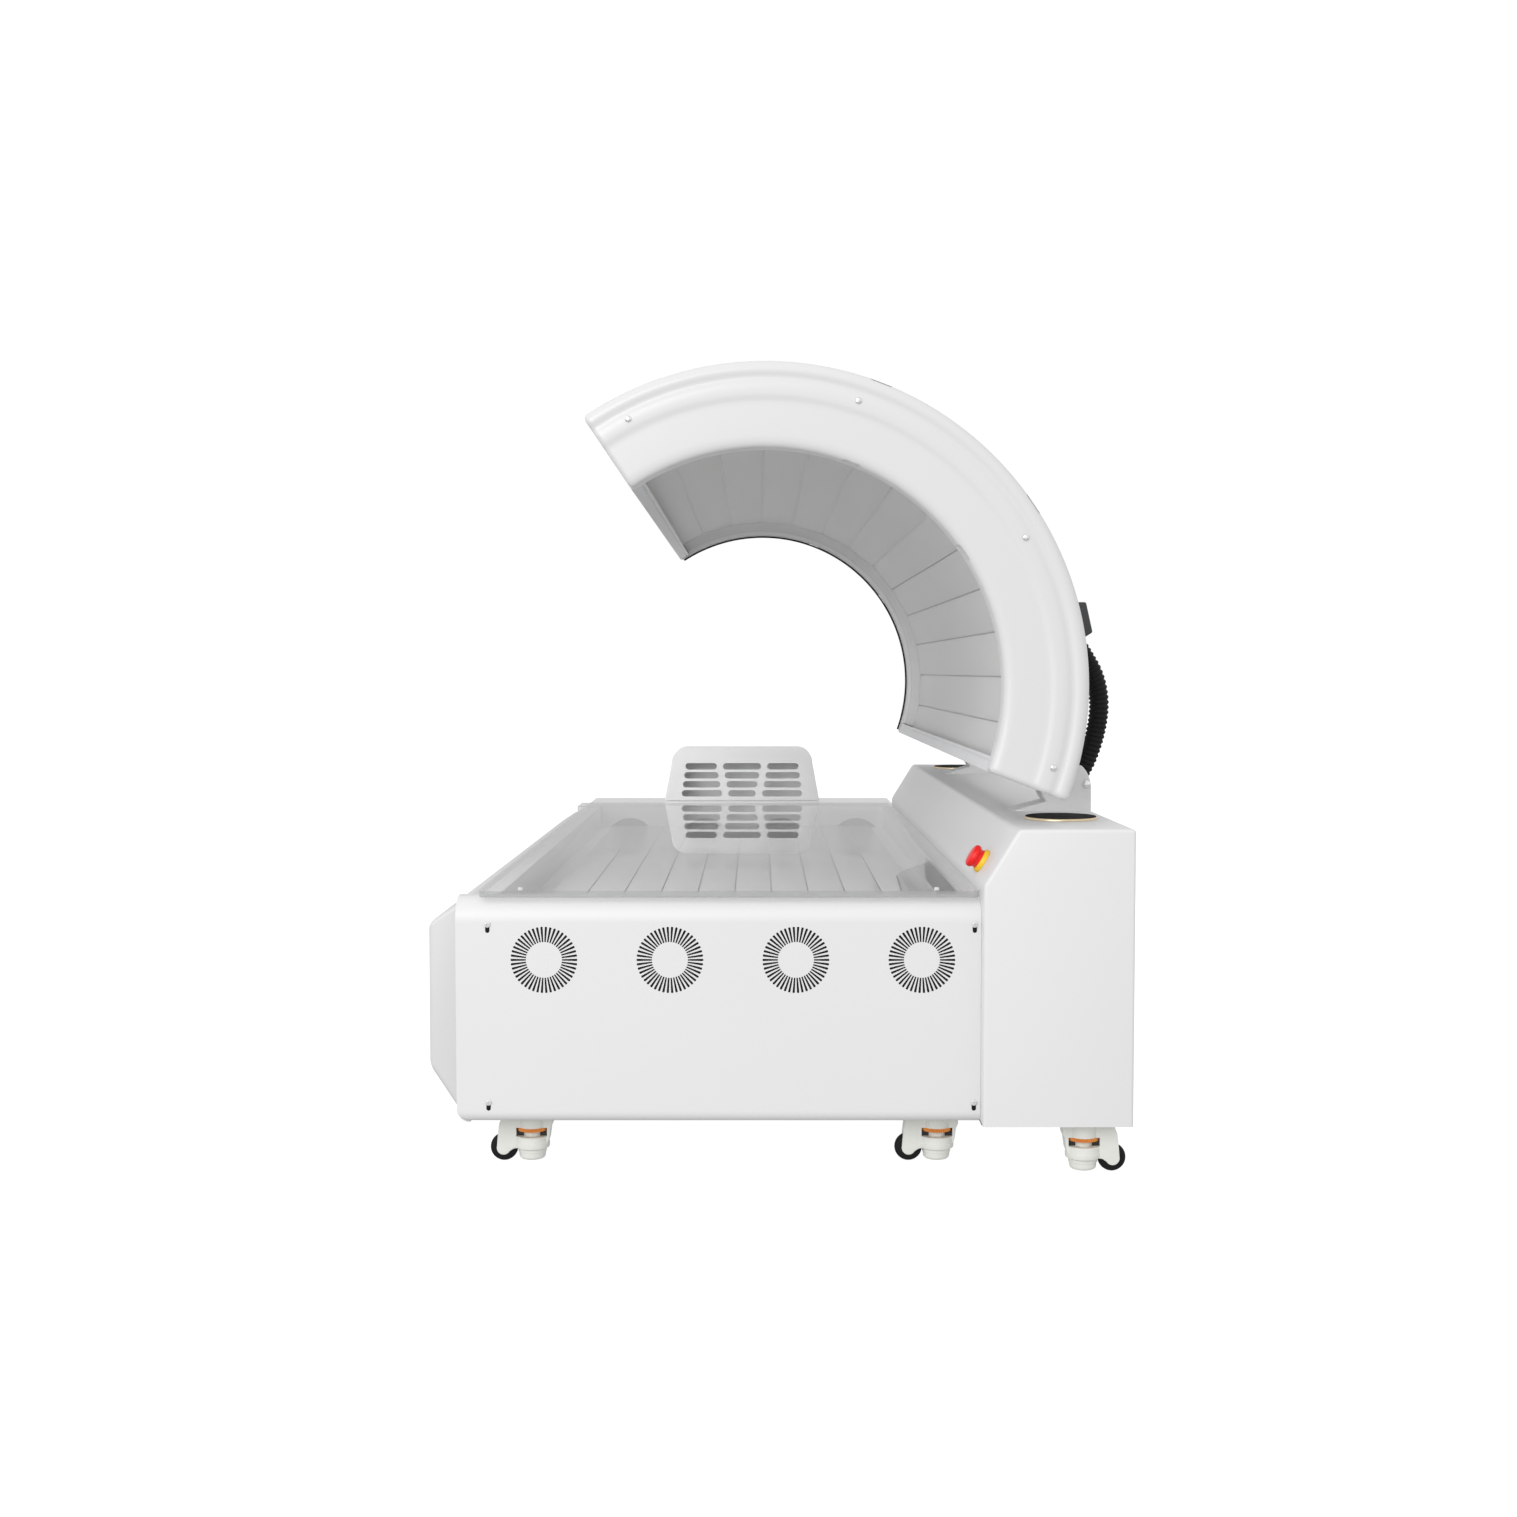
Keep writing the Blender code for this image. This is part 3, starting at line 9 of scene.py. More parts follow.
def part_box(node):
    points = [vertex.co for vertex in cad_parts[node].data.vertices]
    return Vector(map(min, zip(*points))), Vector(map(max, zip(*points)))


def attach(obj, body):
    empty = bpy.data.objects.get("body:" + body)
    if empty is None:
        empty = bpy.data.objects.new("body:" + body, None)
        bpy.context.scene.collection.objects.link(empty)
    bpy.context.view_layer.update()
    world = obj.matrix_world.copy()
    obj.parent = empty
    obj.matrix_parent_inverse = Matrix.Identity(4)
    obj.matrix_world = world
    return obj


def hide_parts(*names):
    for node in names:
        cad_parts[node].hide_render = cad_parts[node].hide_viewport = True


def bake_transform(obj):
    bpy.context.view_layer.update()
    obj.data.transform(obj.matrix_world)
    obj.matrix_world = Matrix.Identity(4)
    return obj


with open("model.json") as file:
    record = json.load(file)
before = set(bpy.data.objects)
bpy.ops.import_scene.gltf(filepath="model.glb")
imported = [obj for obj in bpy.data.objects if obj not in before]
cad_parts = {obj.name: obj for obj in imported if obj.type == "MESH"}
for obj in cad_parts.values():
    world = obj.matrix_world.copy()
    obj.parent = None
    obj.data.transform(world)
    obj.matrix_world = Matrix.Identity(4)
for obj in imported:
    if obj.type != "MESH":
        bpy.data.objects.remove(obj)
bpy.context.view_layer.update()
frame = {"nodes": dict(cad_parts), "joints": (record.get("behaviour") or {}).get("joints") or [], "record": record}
nodes = frame["nodes"]
joints = {joint["name"]: joint for joint in frame["joints"]}
print("frame loaded:", len(nodes), "nodes")


# the camera stands at the near end, a little above the sheet, looking slightly down
view = {"place": (-0.058, -4.005, 0.837), "lens": 42.42, "sensor": 36, "tiltDown": 2.82}

bpy.ops.object.camera_add(location=view["place"],
                          rotation=(math.radians(90 - view["tiltDown"]), 0, 0))
camera = bpy.context.object
camera.data.lens = view["lens"]
camera.data.sensor_width = view["sensor"]
bpy.context.scene.camera = camera
bpy.context.scene.view_settings.view_transform = 'Standard'


# play between seated pieces, and how far a cutter reaches past the surface that it cuts
fit = {"play": 0.0003, "over": 0.008, "past": 0.01}


# small helpers for modelling by operator

def objectMode():
    if bpy.context.object and bpy.context.object.mode != 'OBJECT':
        bpy.ops.object.mode_set(mode='OBJECT')
    bpy.ops.object.select_all(action='DESELECT')


def pick(piece):
    objectMode()
    piece.select_set(True)
    bpy.context.view_layer.objects.active = piece


def editMode(piece, kind='VERT', choice='SELECT'):
    pick(piece)
    bpy.ops.object.mode_set(mode='EDIT')
    bpy.ops.mesh.select_mode(type=kind)
    bpy.ops.mesh.select_all(action=choice)


def selectFaces(piece, test):
    # marks the faces that pass the test, then goes to edit mode
    editMode(piece, 'FACE', 'DESELECT')
    bpy.ops.object.mode_set(mode='OBJECT')
    for face in piece.data.polygons:
        face.select = test(face.center, face.normal)
    bpy.ops.object.mode_set(mode='EDIT')


def cleanMesh(piece, gap=1e-6):
    editMode(piece)
    bpy.ops.mesh.remove_doubles(threshold=gap)
    bpy.ops.mesh.normals_make_consistent(inside=False)
    objectMode()
    return piece


def rename(piece, name):
    piece.name = name
    piece.data.name = name
    return piece


def extrude(step):
    bpy.ops.mesh.extrude_region_move(TRANSFORM_OT_translate={"value": step})


def drawLine(name, points):
    # one vertex, extruded from point to point; the line is left selected in edit mode
    objectMode()
    bpy.ops.mesh.primitive_plane_add(size=0.01)
    piece = rename(bpy.context.object, name)
    editMode(piece)
    bpy.ops.mesh.merge(type='CENTER')
    bpy.ops.transform.translate(value=points[0])
    for before, after in zip(points, points[1:]):
        extrude([b - a for a, b in zip(before, after)])
    bpy.ops.mesh.select_all(action='SELECT')
    return piece


def drawPrism(name, outline, depth):
    # a filled outline, extruded by depth
    piece = drawLine(name, outline)
    bpy.ops.mesh.edge_face_add()
    extrude(depth)
    return cleanMesh(piece)


def boxPiece(name, low, high):
    corners = ((low[0], low[1]), (high[0], low[1]), (high[0], high[1]), (low[0], high[1]))
    return drawPrism(name, [(x, y, low[2]) for x, y in corners], (0, 0, high[2] - low[2]))


def spinLine(name, points, centre, axis, steps, angle=math.tau, closed=False):
    # a drawn profile spun round an axis; a closed one makes a solid sector
    piece = drawLine(name, points)
    if closed:
        bpy.ops.mesh.edge_face_add()
    bpy.ops.mesh.spin(steps=steps, angle=angle, center=centre, axis=axis)
    return cleanMesh(piece, 1e-5)


def spinCopies(piece, more, pitch, centre):
    # more copies of the piece about the Y direction, one each pitch
    editMode(piece)
    bpy.ops.mesh.spin(steps=more, dupli=True, angle=pitch * more, center=centre, axis=(0, 1, 0))
    objectMode()


def turned(name, profile, steps=48, place=Matrix()):
    # a profile of (radius, z) spun about the Z axis and put in its place
    points = [(radius, 0, z) for radius, z in profile]
    piece = spinLine(name, points, (0, 0, 0), (0, 0, 1), steps)
    piece.data.transform(place)
    return piece


def plug(name, radius, low, high, steps=48, place=Matrix()):
    return turned(name, [(0, low), (radius, low), (radius, high), (0, high)], steps, place)


def lyingDisc(name, radius, centre, start, end, bevel=0.0):
    # a rod along Y through centre, from start to end
    profile = [(0, start), (radius - bevel, start), (radius, start + bevel), (radius, end - bevel),
               (radius - bevel, end), (0, end)]
    points = [(centre.x + reach, y, centre.z) for reach, y in profile]
    return spinLine(name, points, centre, (0, 1, 0), 40)


def useModifier(piece, kind, **settings):
    pick(piece)
    modifier = piece.modifiers.new(kind.lower(), kind)
    for key, value in settings.items():
        setattr(modifier, key, value)
    bpy.ops.object.modifier_apply(modifier=modifier.name)
    return piece


def soften(piece, width, segments=2, angle=30):
    return useModifier(piece, 'BEVEL', width=width, segments=segments, limit_method='ANGLE',
                       angle_limit=math.radians(angle), miter_outer='MITER_ARC')


def carve(piece, cutter, operation='DIFFERENCE'):
    useModifier(piece, 'BOOLEAN', operation=operation, solver='EXACT', object=cutter)
    bpy.data.objects.remove(cutter, do_unlink=True)
    return piece


def copyOf(piece, name, place=Matrix()):
    twin = piece.copy()
    twin.data = piece.data.copy()
    rename(twin, name)
    bpy.context.scene.collection.objects.link(twin)
    twin.data.transform(place)
    return twin


def joined(name, pieces):
    objectMode()
    for piece in pieces:
        piece.select_set(True)
    bpy.context.view_layer.objects.active = pieces[0]
    bpy.ops.object.join()
    return rename(pieces[0], name)


def arcPoints(centre, radius, start, end, steps):
    # (u, v) points on an arc, its angles in degrees
    turns = [math.radians(start + (end - start) * step / steps) for step in range(steps + 1)]
    return [(centre[0] + radius * math.cos(turn), centre[1] + radius * math.sin(turn))
            for turn in turns]


def wallPrism(name, outline, y, depth, x=0, z=0):
    # an outline of (u, v) on the upright plane at y, extruded along Y
    return drawPrism(name, [(x + u, y, z + v) for u, v in outline], (0, depth, 0))


def seatAt(place, direction):
    # stands +Z along direction at place
    turn = Vector((0, 0, 1)).rotation_difference(Vector(direction))
    return Matrix.Translation(place) @ turn.to_matrix().to_4x4()


def middleOf(nodeName):
    low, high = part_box(nodeName)
    return (low + high) / 2


def settle(piece, body, finish, slotName, *hidden, angle=35):
    # the finished piece: place in its mesh, its finish, and the body that carries it
    pick(piece)
    bpy.ops.object.transform_apply(location=True, rotation=True, scale=True)
    bpy.ops.object.shade_smooth_by_angle(angle=math.radians(angle))
    piece.data.materials.clear()
    piece.data.materials.append(finish)
    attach(piece, body)
    if hidden:
        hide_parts(*hidden)
    objectMode()
    return piece


# finishes

def linear(hexColour):
    channels = [int(hexColour[i:i + 2], 16) / 255 for i in (0, 2, 4)]
    return [c / 12.92 if c <= 0.04045 else ((c + 0.055) / 1.055) ** 2.4 for c in channels] + [1.0]


def addNode(tree, kind, settings, links):
    made = tree.nodes.new(kind)
    for key, value in settings.items():
        if key in made.inputs:
            made.inputs[key].default_value = value
        else:
            setattr(made, key, value)
    for key, source in links.items():
        tree.links.new(source, made.inputs[key])
    return made


def mapRange(tree, value, start, end, low=0.0, high=1.0):
    # spreads low..high over start..end
    return addNode(tree, 'ShaderNodeMapRange', {
        "From Min": low, "From Max": high, "To Min": start, "To Max": end},
        {"Value": value}).outputs[0]


def mixTones(tree, factor, tones):
    tone = addNode(tree, 'ShaderNodeMix', {"data_type": 'RGBA'}, {"Factor": factor})
    tone.inputs[6].default_value = linear(tones[0])
    tone.inputs[7].default_value = linear(tones[1])
    return tone.outputs[2]


def noise(tree, spot, sizeMm, detail):
    return addNode(tree, 'ShaderNodeTexNoise', {"Scale": 1000 / sizeMm, "Detail": detail},
                   {"Vector": spot}).outputs[0]


def bumps(tree, height, strength, distance):
    return addNode(tree, 'ShaderNodeBump', {"Strength": strength, "Distance": distance},
                   {"Height": height}).outputs[0]


def newFinish(name, shaderSettings):
    # an empty material with a principled shader and the piece's own coordinates
    finish = bpy.data.materials.new(name)
    finish.use_nodes = True
    tree = finish.node_tree
    tree.nodes.clear()
    shader = addNode(tree, 'ShaderNodeBsdfPrincipled', shaderSettings, {})
    addNode(tree, 'ShaderNodeOutputMaterial', {}, {"Surface": shader.outputs[0]})
    spot = addNode(tree, 'ShaderNodeTexCoord', {}, {}).outputs['Object']
    return finish, tree, shader, spot


def paintedFinish(name, shader, tones, cloudMm, gloss, grainMm, grain):
    # two close tones in soft clouds, a fine grain in the surface and an uneven gloss
    finish, tree, shader, spot = newFinish(name, shader)
    cloud = noise(tree, spot, cloudMm, 3.0)
    tree.links.new(mixTones(tree, cloud, tones), shader.inputs['Base Color'])
    tree.links.new(mapRange(tree, cloud, *gloss), shader.inputs['Roughness'])
    relief = bumps(tree, noise(tree, spot, grainMm, 2.0), grain, 0.0005)
    tree.links.new(relief, shader.inputs['Normal'])
    return finish


# white epoxy powder coat on sheet steel: satin, with a faint orange peel about 2 mm across
powderWhite = paintedFinish(
    "powderCoatedSteel", {"IOR": 1.5}, ("dcdcdc", "dfdfdf"),
    cloudMm=400, gloss=(0.36, 0.46), grainMm=2.2, grain=0.05)
# painted shade: the side skirt gets a greyer copy of the end panels' powder coat, darkened against the light that
# falls on it
shadedSkirtWhite = paintedFinish(
    "powderCoatedSkirtPaintedShade", {"IOR": 1.5}, ("cecece", "d2d2d2"),
    cloudMm=400, gloss=(0.36, 0.46), grainMm=2.2, grain=0.05)
# white ABS moulding: smoother and glossier than the painted steel
mouldedWhite = paintedFinish(
    "mouldedAbs", {"IOR": 1.53}, ("d6d6d6", "d9d9d9"),
    cloudMm=500, gloss=(0.26, 0.36), grainMm=1.4, grain=0.03)
# anodised aluminium extrusion: pale grey, dull
anodised = paintedFinish(
    "anodisedAluminium", {"Metallic": 0.15}, ("d8d9da", "e0e1e2"),
    cloudMm=60, gloss=(0.38, 0.5), grainMm=0.8, grain=0.06)
# white polycarbonate tray under the sheet
trayWhite = paintedFinish(
    "polycarbonateTray", {"IOR": 1.58}, ("e8e8e8", "ececec"),
    cloudMm=300, gloss=(0.2, 0.3), grainMm=80, grain=0.02)
# glass-epoxy LED boards with a white solder mask, semi-gloss
boardWhite = paintedFinish(
    "whiteSolderMask", {"IOR": 1.5}, ("e0e0e0", "e4e4e4"),
    cloudMm=300, gloss=(0.1, 0.16), grainMm=80, grain=0.02)
# the canopy's LED boards have a satin solder mask that mirrors little
linerWhite = paintedFinish(
    "satinSolderMask", {"IOR": 1.5, "Specular IOR Level": 0.3}, ("d9d9d8", "dddddc"),
    cloudMm=120, gloss=(0.45, 0.55), grainMm=80, grain=0.01)
# white polyurethane headrest moulding
headWhite = paintedFinish(
    "mouldedPolyurethane", {"IOR": 1.48}, ("f0f0f0", "f4f4f4"),
    cloudMm=120, gloss=(0.42, 0.55), grainMm=1.2, grain=0.08)
# black ABS, fine spark texture
blackAbs = paintedFinish(
    "blackAbs", {"IOR": 1.53}, ("1b1b1c", "232324"),
    cloudMm=40, gloss=(0.42, 0.58), grainMm=0.9, grain=0.12)
# dark grey glass-filled nylon
darkNylon = paintedFinish(
    "glassFilledNylon", {"IOR": 1.53}, ("353638", "3e3f41"),
    cloudMm=30, gloss=(0.45, 0.6), grainMm=1.0, grain=0.15)
# black EPDM rubber, dull with a dusty tone
blackRubber = paintedFinish(
    "epdmRubber", {"IOR": 1.5, "Specular IOR Level": 0.25}, ("0a0a0b", "101011"),
    cloudMm=25, gloss=(0.5, 0.68), grainMm=1.2, grain=0.2)
# off-white polyamide castor moulding, slightly warm
castorNylon = paintedFinish(
    "castorPolyamide", {"IOR": 1.53}, ("dedfd8", "e6e7e1"),
    cloudMm=20, gloss=(0.4, 0.52), grainMm=0.9, grain=0.1)
# zinc plated steel: bright, with a fine rolled grain
zincSteel = paintedFinish(
    "zincPlatedSteel", {"Metallic": 1.0}, ("b4b6b8", "c6c8ca"),
    cloudMm=12, gloss=(0.28, 0.4), grainMm=0.5, grain=0.08)
# polished stainless dome screws of the canopy caps: bright all over
domeSteel = paintedFinish(
    "polishedStainless", {"Metallic": 1.0}, ("e6e7e8", "eeeff0"),
    cloudMm=10, gloss=(0.16, 0.24), grainMm=0.5, grain=0.03)
# a grey plate on the tray's wall, which darkens a patch of it
greyPlate = paintedFinish(
    "greyWallPlate", {"IOR": 1.58}, ("8c8c8d", "949495"),
    cloudMm=60, gloss=(0.35, 0.45), grainMm=1.2, grain=0.06)
# red and yellow PBT for the emergency stop
stopRed = paintedFinish(
    "redPbt", {"IOR": 1.55}, ("ec0404", "f40a0a"),
    cloudMm=15, gloss=(0.3, 0.4), grainMm=0.8, grain=0.04)
stopYellow = paintedFinish(
    "yellowPbt", {"IOR": 1.55}, ("f2c21a", "f7cc2e"),
    cloudMm=15, gloss=(0.3, 0.42), grainMm=0.8, grain=0.04)
# copper-coloured anodised dial of the levelling castors
copperDial = paintedFinish(
    "copperAnodised", {"Metallic": 0.5}, ("e08a3c", "ec9a4c"),
    cloudMm=8, gloss=(0.3, 0.42), grainMm=0.6, grain=0.08)
# pale gold anodised ring of the speakers
goldRing = paintedFinish(
    "goldAnodised", {"Metallic": 0.8}, ("d8c4a0", "e3d2b2"),
    cloudMm=10, gloss=(0.28, 0.38), grainMm=0.6, grain=0.05)
# extruded acrylic canopy cover, 3 mm: clearer than the sheet
clearCover = paintedFinish(
    "extrudedAcrylic", {"IOR": 1.49, "Alpha": 0.1, "Specular IOR Level": 0.3},
    ("a4a6a7", "acaeaf"), cloudMm=500, gloss=(0.1, 0.16), grainMm=300, grain=0.003)
# the same acrylic where it was sawn: milky grey edge
sawnEdge = paintedFinish(
    "sawnAcrylicEdge", {"IOR": 1.49, "Alpha": 0.6}, ("9a9c9c", "a6a8a8"),
    cloudMm=80, gloss=(0.25, 0.4), grainMm=0.7, grain=0.1)
# cast acrylic bed sheet, 11.5 mm: clear and polished
clearSheet = paintedFinish(
    "castAcrylic", {"IOR": 1.49, "Coat Weight": 1.0, "Coat Roughness": 0.0, "Coat IOR": 2.6},
    ("8e8e8e", "949494"), cloudMm=500, gloss=(0.0, 0.01), grainMm=300, grain=0.0)
# the sheet mirrors more and lets less through where it is looked along
glance = {"power": 39.0, "full": 0.0182, "facing": 0.04, "along": 0.76}
sheetTree = clearSheet.node_tree
sheetFacing = addNode(sheetTree, 'ShaderNodeLayerWeight', {"Blend": 0.5}, {}).outputs['Facing']
sheetRise = addNode(sheetTree, 'ShaderNodeMath', {"operation": 'POWER'}, {0: sheetFacing})
sheetRise.inputs[1].default_value = glance["power"]
sheetAlpha = mapRange(sheetTree, sheetRise.outputs[0], glance["facing"], glance["along"],
                      high=glance["full"])
sheetTree.links.new(sheetAlpha, sheetTree.nodes["Principled BSDF"].inputs['Alpha'])
# perforated steel speaker grille, black: holes 2.4 mm apart, painted darker inside as shade and sunk by a bump
speakerMesh, meshTree, meshShader, meshSpot = newFinish("perforatedGrille", {
    "Roughness": 0.8, "Specular IOR Level": 0.12})
meshHoles = addNode(meshTree, 'ShaderNodeTexVoronoi', {"Scale": 1000 / 2.4, "Randomness": 0.0},
                    {"Vector": meshSpot})
# painted shade: darker at each hole's centre; the same value sinks the holes by bump
holeShadeAndDepth = mapRange(meshTree, meshHoles.outputs[0], 0.25, 1.0, low=0.2, high=0.42)
meshTree.links.new(mixTones(meshTree, holeShadeAndDepth, ("070708", "1e1e20")),
                   meshShader.inputs['Base Color'])
meshTree.links.new(bumps(meshTree, holeShadeAndDepth, 0.4, 0.0008), meshShader.inputs['Normal'])
print("finishes made")

# CAD nodes that stay get the finish of their slot
slotFinish = {
    "white_enamel": powderWhite, "moulded_white": mouldedWhite, "rail_aluminium": anodised,
    "tray_white": trayWhite, "led_board": boardWhite, "clear_acrylic": clearSheet,
    "headrest_white": headWhite, "black_plastic": blackAbs, "dark_grey_plastic": darkNylon,
    "black_rubber": blackRubber, "castor_nylon": castorNylon, "foot_nylon": castorNylon,
    "zinc_steel": zincSteel, "stop_red": stopRed, "stop_yellow": stopYellow,
}
for part in frame["record"]["subparts"]:
    holder = nodes[part["node"]]
    holder.data.materials.clear()
    holder.data.materials.append(slotFinish[part["material_slot"]])


# wiring hose: corrugated, from the canopy's junction box down into the gland on the column
hose = {
    "route": [(0.5400, 0.8950), (0.5466, 0.8845), (0.5532, 0.8739), (0.5598, 0.8633),
              (0.5662, 0.8525), (0.5752, 0.8360), (0.5823, 0.8170), (0.5868, 0.7975),
              (0.5890, 0.7735), (0.5876, 0.7470), (0.5832, 0.7210), (0.5762, 0.6950),
              (0.5660, 0.6670), (0.5540, 0.6435), (0.5473, 0.6319), (0.5406, 0.6203),
              (0.5338, 0.6086), (0.5270, 0.5970)],
    "y": -0.606, "crest": 0.019, "valley": 0.0163, "wall": 0.0018, "ribs": 36, "sides": 32,
    "perRib": 6, "fine": 20,
}


def evenRoute(points, count):
    # even points on a smooth curve through the given ones
    beyond = lambda a, b: tuple(2 * p - q for p, q in zip(a, b))
    spots = [beyond(*points[:2]), *points, beyond(points[-1], points[-2])]
    line = [Vector((x, hose["y"], z)) for x, z in spots]
    fine = []
    for a, b, c, d in zip(line, line[1:], line[2:], line[3:]):
        for step in range(hose["fine"]):
            t = step / hose["fine"]
            fine.append(0.5 * (2 * b + (c - a) * t + (2 * a - 5 * b + 4 * c - d) * t * t
                               + (3 * b - a - 3 * c + d) * t ** 3))
    fine.append(line[-2])
    runs = [0.0]
    for a, b in zip(fine, fine[1:]):
        runs.append(runs[-1] + (b - a).length)
    even = []
    at = 0
    for i in range(count):
        wanted = runs[-1] * i / (count - 1)
        while at < len(fine) - 2 and runs[at + 1] < wanted:
            at += 1
        share = (wanted - runs[at]) / (runs[at + 1] - runs[at])
        even.append(fine[at].lerp(fine[at + 1], share))
    return even, runs[-1]


def makeHose():
    count = hose["ribs"] * hose["perRib"] + 1
    line, length = evenRoute(hose["route"], count)
    curve = bpy.data.curves.new("hoseLine", 'CURVE')
    curve.dimensions = '3D'
    curve.twist_mode = 'MINIMUM'
    curve.bevel_depth = 1.0
    curve.bevel_resolution = hose["sides"] // 4 - 2
    spline = curve.splines.new('POLY')
    spline.points.add(count - 1)
    for i, point in enumerate(spline.points):
        wave = 0.5 - 0.5 * math.cos(math.tau * i / hose["perRib"])
        point.co = (*line[i], 1.0)
        point.radius = hose["valley"] + (hose["crest"] - hose["valley"]) * wave ** 0.6
    tube = bpy.data.objects.new("corrugatedHose", curve)
    bpy.context.scene.collection.objects.link(tube)
    pick(tube)
    bpy.ops.object.convert(target='MESH')
    tube = bpy.context.object
    cleanMesh(tube, 1e-7)
    useModifier(tube, 'SOLIDIFY', thickness=hose["wall"], offset=-1)
    bpy.ops.object.shade_smooth()
    tube.data.materials.clear()
    tube.data.materials.append(blackRubber)
    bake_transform(tube)
    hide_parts("wiring_hose")
    print("hose length", round(length, 4))


makeHose()


# end panels: folded steel, bullnose top, four rings of cooling slots, keyholes for the screws
endPanel = {"topRadius": 0.040, "footRadius": 0.018, "flange": 0.014, "wall": 0.0012,
            "corner": 0.022, "straight": 0.004, "fans": 4, "slots": 46, "slotIn": 0.0297,
            "slotOut": 0.0555, "slotHalfIn": 0.0012, "slotHalfOut": 0.0020,
            "keyX": (-0.506, 0.2994), "keyZ": (0.121, 0.418), "keyHalf": 0.0037,
            "keyDrop": 0.0105, "cheekInset": 0.0004, "padRadius": 0.013, "padThick": 0.004,
            "padDrop": 0.004, "padGap": 0.0004, "filterMargin": 0.002, "filterThick": 0.0012}
keySpots = [(x, z) for x in endPanel["keyX"] for z in endPanel["keyZ"]]


def fanSpots(end):
    return [middleOf(f"fan_rotor_{end}_{i + 1}") for i in range(endPanel["fans"])]


def faceOutward(piece, direction):
    # an open sheet's largest face must look along direction before it gets its wall
    biggest = max(piece.data.polygons, key=lambda face: face.area)
    if biggest.normal.dot(Vector(direction)) < 0:
        editMode(piece)
        bpy.ops.mesh.flip_normals()
        objectMode()


def ventCutter(spots, face):
    # one tapered slot, spun into a ring, and the ring copied to each fan
    a, b = endPanel["slotIn"], endPanel["slotOut"]
    p, q = endPanel["slotHalfIn"], endPanel["slotHalfOut"]
    first = spots[0]
    outline = [(a, -p), (b - q / 2, -q), (b, 0), (b - q / 2, q), (a, p)]
    ring = wallPrism("slotRing", outline, face - fit["over"], 2 * fit["over"], first.x, first.z)
    count = endPanel["slots"]
    spinCopies(ring, count - 1, math.tau / count, (first.x, face, first.z))
    more = [copyOf(ring, "slotRing", Matrix.Translation((spot.x - first.x, 0, 0)))
            for spot in spots[1:]]
    return joined("slotRings", [ring] + more)


def keyholeCutter(face):
    half, drop = endPanel["keyHalf"], endPanel["keyDrop"]
    outline = arcPoints((0, 0), half, 0, 180, 8) + arcPoints((0, -drop), half, 180, 360, 8)
    return joined("keyholes", [
        wallPrism("keyhole", outline, face - fit["over"], 2 * fit["over"], x, z)
        for x, z in keySpots])


def makePanel(end, toward):
    # toward is +1 where the panel's inside lies at greater Y
    low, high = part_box(end + "_end_panel")
    front, deep = (low.y if toward > 0 else high.y), high.y - low.y
    r1, r2, straight = endPanel["footRadius"], endPanel["topRadius"], endPanel["straight"]
    # side view from the lower flange up the face to the upper one; u runs inward
    outline = [(r1 + endPanel["flange"] if toward > 0 else deep, low.z)]
    outline += arcPoints((r1, low.z + r1), r1, 270, 180, 8)
    outline += [(0, low.z + r1 + straight), (0, high.z - r2 - straight)]
    outline += arcPoints((r2, high.z - r2), r2, 180, 90, 14) + [(deep, high.z)]
    panel = drawLine(end + "EndPanel", [(low.x, front + toward * u, v) for u, v in outline])
    extrude((high.x - low.x, 0, 0))
    cleanMesh(panel)
    faceOutward(panel, (0, -toward, 0))
    useModifier(panel, 'SOLIDIFY', thickness=endPanel["wall"], offset=-1)
    cleanMesh(panel)
    # the lower left corner is rounded off
    corner, past = endPanel["corner"], fit["past"]
    outline = arcPoints((corner, corner), corner, 270, 180, 10)
    outline += [(-past, corner), (-past, -past), (corner, -past)]
    carve(panel, wallPrism("cornerCut", outline, front - past * toward, toward * 0.3, low.x, low.z))
    carve(panel, ventCutter(fanSpots(end), front))
    if toward > 0:
        carve(panel, keyholeCutter(front))
    settle(panel, "base", powderWhite, "white_enamel", end + "_end_panel", angle=25)
    print(panel.name, len(panel.data.polygons), "faces")


def makeCheeks(end, toward):
    # plates close the folded panel's open ends; the far box also gets one towards the skirt
    low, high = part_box(end + "_end_panel")
    wall, corner = endPanel["wall"], endPanel["corner"]
    r1, r2 = endPanel["footRadius"], endPanel["topRadius"]
    inset = wall + endPanel["cheekInset"]
    front = (low.y if toward > 0 else high.y) + toward * inset
    deep, top = high.y - low.y - inset, high.z - inset
    cheeks = []
    for x, foot in ((low.x, low.z + corner), (high.x - wall, low.z + inset)):
        outline = [(deep, foot)] + arcPoints((r1, foot + r1), r1, 270, 180, 6)
        outline += arcPoints((r2, top - r2), r2, 180, 90, 10) + [(deep, top)]
        cheeks.append(drawPrism("panelCheek", [(x, front + toward * u, v) for u, v in outline],
                                (wall, 0, 0)))
    fold = arcPoints((0, 0), corner, 270, 180, 10) + arcPoints((0, 0), corner - wall, 180, 270, 10)
    cheeks.append(wallPrism("panelCheek", fold, front, toward * deep, low.x + corner,
                            low.z + corner))
    if toward < 0:
        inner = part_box("left_side_skirt")[1].x
        cheeks.append(boxPiece("panelCheek", (low.x + wall, low.y, low.z + corner),
                               (inner, low.y + wall, top)))
    settle(joined(end + "EndCheeks", cheeks), "base", powderWhite, "white_enamel")


for make in (makePanel, makeCheeks):
    make("near", 1)
    make("far", -1)


# screws: pan heads with a cross recess, modelled once and copied
panScrew = {"radius": 0.0052, "rise": 0.0030, "crossLong": 0.0030, "crossWide": 0.0009,
            "crossDeep": 0.0016, "lift": 0.0004}


